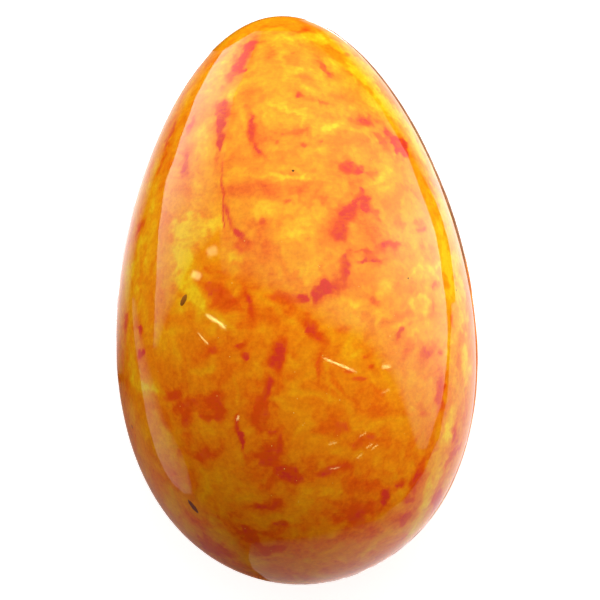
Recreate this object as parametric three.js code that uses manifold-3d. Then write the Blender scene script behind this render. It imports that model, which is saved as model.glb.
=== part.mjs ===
// A moulded chocolate egg, lying on its side.
// Two half eggs are joined by a thin line of chocolate that sits a little back from their rims.
// The back half was set down slightly off the front half, so its rim shows as a narrow step.
// Millimetres. +Z is up and square to the join, +Y runs along the egg to its narrow end.
// The origin is on the floor below the middle of the egg.

import * as THREE from 'three';
import { mergeVertices } from 'three/addons/utils/BufferGeometryUtils.js';
import Module from 'manifold-3d';

// Driving dimensions of the egg
const EGG_LENGTH = 150;
const EGG_DIAMETER = 95;
const TAPER = 0.185; // how much fuller the blunt end is than the narrow end
const FULLNESS = 0.014; // how much both ends are filled out

// The join between the halves
const JOIN_GAP = 0.5; // distance between the two rims
const JOIN_SETBACK = 0.7; // how far the joining chocolate stays behind the rims
const JOIN_BITE = 3; // how far the joining chocolate reaches into each half
const STEP_ASIDE = 0.45; // the back half's slip towards +X
const STEP_TURN_DEG = -0.46; // the back half's turn about the vertical

// The spot worn flat where the egg rests
const REST_FLAT_DEPTH = 0.8;

// Fineness of the surface
const COLUMNS = 84; // round the rim of a half
const RINGS = 21; // from the rim of a half to its crown

const SHELL_FINISH = { color: 0xf0890f, roughness: 0.12, metalness: 0 };

const wasm = await Module();
wasm.setup();

// The egg's girth at a station from -1, the blunt end, to +1, the narrow end, against a plain ball's.
function girth(station) {
  return 1 - TAPER * station + FULLNESS * station * station;
}

// The largest value of the ball's own girth times the egg's, which scales the egg to its diameter.
function widestGirth() {
  const steps = 2000;
  let widest = 0;
  for (let i = 0; i <= steps; i += 1) {
    const station = (2 * i) / steps - 1;
    widest = Math.max(widest, Math.sqrt(1 - station * station) * girth(station));
  }
  return widest;
}

const HALF_WIDTH = EGG_DIAMETER / 2 / widestGirth();

// Moves a point of the unit ball to its place on the egg.
function ballToEgg(point) {
  const across = HALF_WIDTH * girth(point.y);
  return point.set(point.x * across, (point.y * EGG_LENGTH) / 2, point.z * across);
}

// Half of the unit ball, closed by its flat side and crowned along +Z.
function halfBall() {
  const profile = [new THREE.Vector2(0, 0)];
  for (let ring = 0; ring < RINGS; ring += 1) {
    const climb = (ring / RINGS) * (Math.PI / 2);
    profile.push(new THREE.Vector2(Math.cos(climb), Math.sin(climb)));
  }
  profile.push(new THREE.Vector2(0, 1));
  return new THREE.LatheGeometry(profile, COLUMNS).rotateX(Math.PI / 2);
}

// One moulded half: the half ball drawn out to the egg's shape, its flat side on the plane z = 0.
function halfEgg() {
  const geometry = halfBall();
  const position = geometry.getAttribute('position');
  const point = new THREE.Vector3();
  for (let i = 0; i < position.count; i += 1) {
    ballToEgg(point.fromBufferAttribute(position, i));
    position.setXYZ(i, point.x, point.y, point.z);
  }
  return geometry;
}

// The chocolate between the halves: the egg's outline, drawn in by the setback.
function joiningPlate() {
  const reach = EGG_DIAMETER / 2;
  const drawnIn = (reach - JOIN_SETBACK) / reach;
  const points = [];
  for (let i = 0; i < COLUMNS; i += 1) {
    const angle = (i / COLUMNS) * Math.PI * 2;
    const point = ballToEgg(new THREE.Vector3(Math.cos(angle), Math.sin(angle), 0));
    points.push(new THREE.Vector2(point.x, point.y).multiplyScalar(drawnIn));
  }
  const thickness = JOIN_GAP + 2 * JOIN_BITE;
  const outline = new THREE.Shape(points);
  const plate = new THREE.ExtrudeGeometry(outline, { depth: thickness, bevelEnabled: false });
  return plate.translate(0, 0, -thickness / 2);
}

// A closed solid from a geometry: shared corners are merged and empty triangles dropped.
function toSolid(geometry) {
  const bare = geometry.clone();
  bare.deleteAttribute('normal');
  bare.deleteAttribute('uv');
  const merged = mergeVertices(bare);
  const corners = merged.getIndex().array;
  const triangles = [];
  for (let i = 0; i < corners.length; i += 3) {
    const [a, b, c] = corners.slice(i, i + 3);
    if (a !== b && b !== c && c !== a) {
      triangles.push(a, b, c);
    }
  }
  return new wasm.Manifold(new wasm.Mesh({
    numProp: 3,
    vertProperties: new Float32Array(merged.getAttribute('position').array),
    triVerts: new Uint32Array(triangles),
  }));
}

// The geometry of a finished solid.
function toGeometry(solid) {
  const mesh = solid.getMesh();
  const geometry = new THREE.BufferGeometry();
  geometry.setAttribute('position', new THREE.BufferAttribute(mesh.vertProperties, mesh.numProp));
  geometry.setIndex(new THREE.BufferAttribute(mesh.triVerts, 1));
  geometry.computeVertexNormals();
  return geometry;
}

// Both halves and the chocolate between them as one solid, around the middle of the join.
function joinedHalves() {
  const front = halfEgg().translate(0, 0, JOIN_GAP / 2);
  const back = halfEgg()
    .rotateY(Math.PI)
    .rotateZ(THREE.MathUtils.degToRad(STEP_TURN_DEG))
    .translate(STEP_ASIDE, 0, -JOIN_GAP / 2);
  return toSolid(front).add(toSolid(joiningPlate())).add(toSolid(back));
}

// The egg with its resting spot cut flat, set down on the plane z = 0.
function restingEgg() {
  const underside = -(EGG_DIAMETER + JOIN_GAP) / 2 + REST_FLAT_DEPTH;
  const cutSize = 2 * EGG_LENGTH;
  const cut = new THREE.BoxGeometry(cutSize, cutSize, cutSize);
  cut.translate(0, 0, underside - cutSize / 2);
  const geometry = toGeometry(joinedHalves().subtract(toSolid(cut)));
  geometry.computeBoundingBox();
  const middle = geometry.boundingBox.getCenter(new THREE.Vector3());
  return geometry.translate(-middle.x, -middle.y, -underside);
}

const egg = new THREE.Mesh(restingEgg(), new THREE.MeshStandardMaterial(SHELL_FINISH));
egg.name = 'egg';

const model = new THREE.Group();
model.name = 'chocolate egg';
model.add(egg);

export default model;
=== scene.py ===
"""A glossy marbled chocolate egg, lying on its side.

Two moulded halves in a coat of yellow, orange and red cocoa butter are joined by a line of plain chocolate.
The halves, the join and the specks of the coat are pieces of their own. Together they replace the CAD egg.
Places on the upper half are given as the picture shows them: millimetres across and along from its middle.
"""
import logging
import math
from dataclasses import dataclass
from enum import Enum
from typing import Any

import bmesh
import bpy
import numpy as np
from mathutils import Matrix, Vector, noise


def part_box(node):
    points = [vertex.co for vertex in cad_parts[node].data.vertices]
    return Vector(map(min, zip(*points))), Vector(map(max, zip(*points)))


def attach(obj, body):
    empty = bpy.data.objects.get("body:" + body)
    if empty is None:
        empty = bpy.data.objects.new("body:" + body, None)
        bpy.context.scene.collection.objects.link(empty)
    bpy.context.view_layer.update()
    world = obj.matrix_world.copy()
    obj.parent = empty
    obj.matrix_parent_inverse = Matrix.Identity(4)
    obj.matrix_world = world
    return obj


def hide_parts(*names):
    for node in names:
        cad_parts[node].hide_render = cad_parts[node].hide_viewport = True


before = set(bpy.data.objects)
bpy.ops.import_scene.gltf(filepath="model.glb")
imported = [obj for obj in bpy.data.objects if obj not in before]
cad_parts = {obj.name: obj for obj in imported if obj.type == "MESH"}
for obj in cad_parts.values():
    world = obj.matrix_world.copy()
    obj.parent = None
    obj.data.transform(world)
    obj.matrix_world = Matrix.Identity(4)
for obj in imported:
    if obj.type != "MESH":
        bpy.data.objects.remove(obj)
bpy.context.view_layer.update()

MM = 0.001
LIGHT_DISTANCE = 4.0  # metres from the egg to the lights that it mirrors
NOISE_SEED = 6  # without a seed of its own the noise module is seeded by the clock
WHITE = (1, 1, 1, 1)
LOG = logging.getLogger("chocolate_egg")

Colour = tuple[float, float, float, float]


class Wire:
    """One output of a node, which other nodes take as their input."""

    def __init__(self, net: "Net", socket: bpy.types.NodeSocket) -> None:
        """Args:
            net: the tree's builder.
            socket: the output that the wire starts from.
        """
        self.net = net
        self.socket = socket

    def __add__(self, other: "Wire | float") -> "Wire":
        """Returns the sum with another wire or number."""
        return self.net.math("ADD", self, other)

    def __sub__(self, other: "Wire | float") -> "Wire":
        """Returns the difference from another wire or number."""
        return self.net.math("SUBTRACT", self, other)

    def __mul__(self, other: "Wire | float") -> "Wire":
        """Returns the product with another wire or number."""
        return self.net.math("MULTIPLY", self, other)

    def __truediv__(self, other: "Wire | float") -> "Wire":
        """Returns the quotient by another wire or number."""
        return self.net.math("DIVIDE", self, other)


class Net:
    """Adds nodes to a shader or geometry tree and wires them."""

    def __init__(self, tree: bpy.types.NodeTree) -> None:
        """Args:
            tree: the tree that the nodes go into.
        """
        self.tree = tree

    def add(self, kind: str, inputs: dict[int | str, Any] | None = None, **settings: Any) -> bpy.types.Node:
        """Adds a node.

        Args:
            kind: the node's type.
            inputs: values or wires, by the socket's name or number.
            settings: the node's own options.

        Returns:
            The node.
        """
        node = self.tree.nodes.new(kind)
        for name, value in settings.items():
            setattr(node, name, value)
        for key, value in (inputs or {}).items():
            self.feed(node.inputs[key], value)
        return node

    def feed(self, socket: bpy.types.NodeSocket, value: Any) -> None:
        """Links a wire to a socket, or sets the socket's own value.

        Args:
            socket: the input.
            value: a wire, or a plain value.
        """
        if isinstance(value, Wire):
            self.tree.links.new(value.socket, socket)
        else:
            socket.default_value = value

    def out(self, node: bpy.types.Node, key: int | str = 0) -> Wire:
        """Returns a wire from one output of a node."""
        return Wire(self, node.outputs[key])

    def made(self, kind: str, inputs: dict[int | str, Any] | None = None, **settings: Any) -> Wire:
        """Returns a wire from the first output of a new node."""
        return self.out(self.add(kind, inputs, **settings))

    def math(self, operation: str, *values: "Wire | float") -> Wire:
        """Returns the result of a Math node on the values."""
        return self.made("ShaderNodeMath", dict(enumerate(values)), operation=operation)

    def vector(self, operation: str, first: Wire, second: Any) -> Wire:
        """Works with a Vector Math node.

        Args:
            operation: what the node does.
            first: the first vector.
            second: the second vector, or the number that scales the first.

        Returns:
            The resulting vector, or the number that a dot product gives.
        """
        key = "Scale" if operation == "SCALE" else 1
        node = self.add("ShaderNodeVectorMath", {0: first, key: second}, operation=operation)
        return self.out(node, "Value" if operation == "DOT_PRODUCT" else 0)

    def position(self) -> list[Wire]:
        """Returns the three coordinates of the points in a geometry tree."""
        return self.split(self.made("GeometryNodeInputPosition"))

    def mixed(self, share: Wire, first: Any, second: Any) -> Wire:
        """Returns the blend of two colours, all of the second where the share is 1."""
        return self.out(self.add("ShaderNodeMix", {0: share, 6: first, 7: second}, data_type="RGBA"), 2)

    def ease(self, value: Wire, low: float, high: float) -> Wire:
        """Eases a value from 0 at low to 1 at high.

        Args:
            value: the value to map.
            low: where the result is 0.
            high: where the result is 1.

        Returns:
            The eased value.
        """
        inputs = {"Value": value, "From Min": low, "From Max": high}
        return self.made("ShaderNodeMapRange", inputs, interpolation_type="SMOOTHSTEP")

    def split(self, vector: Wire) -> list[Wire]:
        """Returns the three components of a vector."""
        node = self.add("ShaderNodeSeparateXYZ", {0: vector})
        return [self.out(node, axis) for axis in range(3)]

    def join(self, *values: "Wire | float") -> Wire:
        """Returns a vector of three values."""
        return self.made("ShaderNodeCombineXYZ", dict(enumerate(values)))

    def noise(self, place: Wire, size: float, detail: float = 2.0, offset: float = 0.0) -> Wire:
        """Makes a noise of a real size, with a mean of nearly 0 and a range of about one each way.

        Args:
            place: the coordinates, in metres.
            size: the size of the noise's patches, in metres.
            detail: the number of finer layers.
            offset: a shift that makes this noise differ from the others.

        Returns:
            The noise.
        """
        moved = self.vector("ADD", place, (offset, offset, offset))
        inputs = {"Vector": moved, "Scale": 1 / size, "Detail": detail}
        middle, stretch = 0.5, 3.0
        return (self.made("ShaderNodeTexNoise", inputs, noise_dimensions="3D") - middle) * stretch


def new_material(name: str) -> tuple[bpy.types.Material, Net]:
    """Makes a material with no nodes yet.

    Args:
        name: the material's name.

    Returns:
        The material and the builder of its nodes.
    """
    material = bpy.data.materials.new(name)
    material.use_nodes = True
    material.node_tree.nodes.clear()
    return material, Net(material.node_tree)


def form_tree(
    name: str, sockets: dict[str, tuple[str, ...]]
) -> tuple[bpy.types.NodeTree, Net, dict[str, Wire]]:
    """Starts a Geometry Nodes tree with named inputs and a geometry as its result.

    Args:
        name: the tree's name.
        sockets: the names of the inputs beside the geometry, by kind.

    Returns:
        The tree, its builder, and a wire from each input by name.
    """
    tree = bpy.data.node_groups.new(name, "GeometryNodeTree")
    for kind, labels in {"Geometry": ("Geometry",), **sockets}.items():
        for label in labels:
            tree.interface.new_socket(label, in_out="INPUT", socket_type="NodeSocket" + kind)
    tree.interface.new_socket("Geometry", in_out="OUTPUT", socket_type="NodeSocketGeometry")
    net = Net(tree)
    entry = net.add("NodeGroupInput")
    return tree, net, {socket.name: Wire(net, socket) for socket in entry.outputs if socket.name}


def end_tree(net: Net, geometry: Wire, material: Wire) -> None:
    """Ends a Geometry Nodes tree, where its instances become real and take the material.

    Args:
        net: the tree's builder.
        geometry: the finished geometry.
        material: the material.
    """
    real = net.made("GeometryNodeRealizeInstances", {0: geometry})
    coated = net.made("GeometryNodeSetMaterial", {"Geometry": real, "Material": material})
    net.add("NodeGroupOutput", {0: coated})


def in_scene(name: str, data: bpy.types.ID) -> bpy.types.Object:
    """Makes an object and links it to the scene.

    Args:
        name: the object's name.
        data: its mesh or camera.

    Returns:
        The object.
    """
    made = bpy.data.objects.new(name, data)
    bpy.context.scene.collection.objects.link(made)
    return made


def applied(
    name: str, base: bpy.types.Mesh, tree: bpy.types.NodeTree, values: dict[str, Any]
) -> bpy.types.Object:
    """Runs a Geometry Nodes tree and keeps its result as a plain mesh.

    Args:
        name: the new piece's name.
        base: the mesh that the tree starts from.
        tree: the tree.
        values: the tree's inputs, by name.

    Returns:
        The piece, linked to the scene.
    """
    source = in_scene(name + "_source", base)
    modifier = source.modifiers.new("Form", "NODES")
    modifier.node_group = tree
    for item in tree.interface.items_tree:
        if item.item_type == "SOCKET" and item.in_out == "INPUT" and item.name in values:
            modifier[item.identifier] = values[item.name]
    evaluated = source.evaluated_get(bpy.context.evaluated_depsgraph_get())
    mesh = bpy.data.meshes.new_from_object(evaluated)
    mesh.name = name
    bpy.data.objects.remove(source)
    close_outwards(mesh)
    return in_scene(name, mesh)


def close_outwards(mesh: bpy.types.Mesh) -> None:
    """Turns every face of a closed mesh outwards and shades it smooth.

    Args:
        mesh: the mesh, changed in place.
    """
    work = bmesh.new()
    work.from_mesh(mesh)
    bmesh.ops.recalc_face_normals(work, faces=work.faces)
    for face in work.faces:
        face.smooth = True
    work.to_mesh(mesh)
    work.free()


def places_of(mesh: bpy.types.Mesh) -> np.ndarray:
    """Reads the places of a mesh's vertices.

    Args:
        mesh: the mesh.

    Returns:
        The places, as rows.
    """
    flat = np.zeros(len(mesh.vertices) * 3, np.float32)
    mesh.vertices.foreach_get("co", flat)
    return flat.reshape(-1, 3).astype(float)


def keep_attribute(mesh: bpy.types.Mesh, name: str, values: np.ndarray) -> None:
    """Stores one number for each vertex of a mesh.

    Args:
        mesh: the mesh.
        name: the attribute's name.
        values: the numbers.
    """
    attribute = mesh.attributes.new(name, "FLOAT", "POINT")
    attribute.data.foreach_set("value", values.astype(np.float32))


@dataclass(frozen=True)
class EggForm:
    """The egg's own shape: a ball drawn out along Y, fuller at its blunt end."""

    centre: Vector
    length: float = 150 * MM
    diameter: float = 95 * MM
    taper: float = 0.185
    fullness: float = 0.014
    join_gap: float = 0.5 * MM
    skin: float = 0.05 * MM

    def girth(self, station: np.ndarray) -> np.ndarray:
        """Returns the girth at stations from -1 to 1, against a plain ball's."""
        return 1 - self.taper * station + self.fullness * station**2

    def half_width(self) -> float:
        """Returns the scale that gives the egg its diameter at its widest station."""
        station = np.linspace(-1, 1, 4001)
        return self.diameter / 2 / float((np.sqrt(1 - station**2) * self.girth(station)).max())

    def radius(self, along: np.ndarray) -> np.ndarray:
        """Returns the egg's radius at distances along from its middle, in metres."""
        station = np.clip(2 * along / self.length, -1, 1)
        return self.half_width() * self.girth(station) * np.sqrt(1 - station**2)

    def upper(self, places: np.ndarray) -> np.ndarray:
        """Returns places as seen from the middle of the upper half's rim."""
        return places - np.array(self.centre) - np.array([0, 0, self.join_gap / 2])

    def normals(self, places: np.ndarray) -> np.ndarray:
        """Works out the outward directions at places on the upper half.

        Args:
            places: rows of places.

        Returns:
            Rows of unit vectors.
        """
        x, y, z = self.upper(places).T
        step = self.length / 2000
        slope = (self.radius(y + step) - self.radius(y - step)) / (2 * step)
        across = np.maximum(np.hypot(x, z), 1e-9)
        rows = np.stack([x / across, -slope, z / across], axis=1)
        return rows / np.linalg.norm(rows, axis=1, keepdims=True)

    def cast(self, starts: np.ndarray, directions: np.ndarray, near: float, far: float) -> np.ndarray:
        """Finds how far rays travel before they meet the egg.

        Args:
            starts: where the rays start.
            directions: unit vectors.
            near: a distance at which every ray is still outside.
            far: the furthest distance to look at.

        Returns:
            The distances, not a number where a ray misses.
        """
        coarse_steps, halvings = 119, 24
        found = np.full(len(starts), np.nan)
        before = near
        for distance in np.linspace(near, far, coarse_steps + 1)[1:]:
            x, y, z = self.upper(starts + directions * distance).T
            inside = (np.hypot(x, z) < self.radius(y)) & np.isnan(found)
            found[inside] = before
            before = distance
        low, high = found.copy(), found + (far - near) / coarse_steps
        for _ in range(halvings):
            middle = (low + high) / 2
            x, y, z = self.upper(starts + directions * middle[:, None]).T
            inside = np.hypot(x, z) < self.radius(y)
            high = np.where(inside, middle, high)
            low = np.where(inside, low, middle)
        return high


@dataclass(frozen=True)
class View:
    """The camera, which looks down on the egg, and the picture plane through the egg's middle."""

    form: EggForm
    lens: float = 120.0
    sensor: float = 36.0
    distance: float = 529.5 * MM
    furthest: float = 50.0
    lean_deg: float = 8.0
    roll_deg: float = 3.08
    aim_across: float = 1.63 * MM
    aim_along: float = -0.05 * MM

    def axes(self) -> np.ndarray:
        """Works out the picture's own directions.

        Returns:
            Rows of its right, its up and the direction towards the camera.
        """
        lean, roll = math.radians(self.lean_deg), math.radians(self.roll_deg)
        towards = np.array([math.sin(lean), 0, math.cos(lean)])
        level = np.array([math.cos(lean), 0, -math.sin(lean)])
        along = np.array([0, 1, 0])
        right = math.cos(roll) * level - math.sin(roll) * along
        up = math.cos(roll) * along + math.sin(roll) * level
        return np.stack([right, up, towards])

    def place(self) -> np.ndarray:
        """Works out where the camera stands.

        Returns:
            The camera's place.
        """
        right, up, towards = self.axes()
        aim = right * self.aim_across + up * self.aim_along
        return np.array(self.form.centre) + aim + towards * self.distance

    def project(self, places: np.ndarray) -> np.ndarray:
        """Finds where the picture shows places.

        Args:
            places: rows of places.

        Returns:
            Rows of the distances across and along from the egg's middle, in metres of the picture plane.
        """
        right, up, towards = self.axes()
        offset = places - self.place()
        scale = self.distance / -(offset @ towards)
        across = offset @ right * scale + self.aim_across
        along = offset @ up * scale + self.aim_along
        return np.stack([across, along], axis=1)

    def meet(self, picture: np.ndarray) -> tuple[np.ndarray, np.ndarray]:
        """Finds the egg's surface behind places in the picture. Those beside it are drawn in to its edge.

        Args:
            picture: rows of the distances across and along, in metres.

        Returns:
            The places on the surface, and the directions from the camera to them.
        """
        tries, draw_in, search = 80, 0.998, 0.55
        reach = self.form.diameter * search
        right, up, _ = self.axes()
        eye = self.place()
        spots = picture.copy()
        surface = np.full((len(spots), 3), np.nan)
        heading = np.zeros((len(spots), 3))
        for _ in range(tries):
            missing = np.isnan(surface[:, 0])
            if not missing.any():
                break
            plane = np.array(self.form.centre) + spots[missing, :1] * right + spots[missing, 1:] * up
            ray = plane - eye
            ray /= np.linalg.norm(ray, axis=1, keepdims=True)
            starts = np.tile(eye, (len(ray), 1))
            travel = self.form.cast(starts, ray, self.distance - reach, self.distance + reach)
            surface[missing] = eye + ray * travel[:, None]
            heading[missing] = ray
            spots[np.isnan(surface[:, 0])] *= draw_in
        return surface, heading

    def build(self) -> bpy.types.Object:
        """Makes the camera and makes it the scene's own.

        Returns:
            The camera.
        """
        data = bpy.data.cameras.new("camera")
        data.lens = self.lens
        data.sensor_width = self.sensor
        data.clip_end = self.furthest
        camera = in_scene("camera", data)
        turn = Matrix([list(axis) for axis in self.axes()]).transposed()
        camera.matrix_world = Matrix.Translation(self.place()) @ turn.to_4x4()
        bpy.context.scene.camera = camera
        return camera


class Pigment(Enum):
    """The tints of cocoa butter: a tone from 0, deep orange, to 1, bright yellow, and a share of red."""

    BRIGHT = (0.96, 0.0)
    YELLOW = (0.79, 0.0)
    AMBER = (0.6, 0.0)
    ORANGE = (0.31, 0.0)
    DEEP = (0.1, 0.0)
    ROSE = (0.1, 0.55)
    RED = (0.0, 0.8)
    CRIMSON = (0.0, 1.0)


BRIGHT, YELLOW, AMBER, ORANGE, DEEP, ROSE, RED, CRIMSON = Pigment

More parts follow.
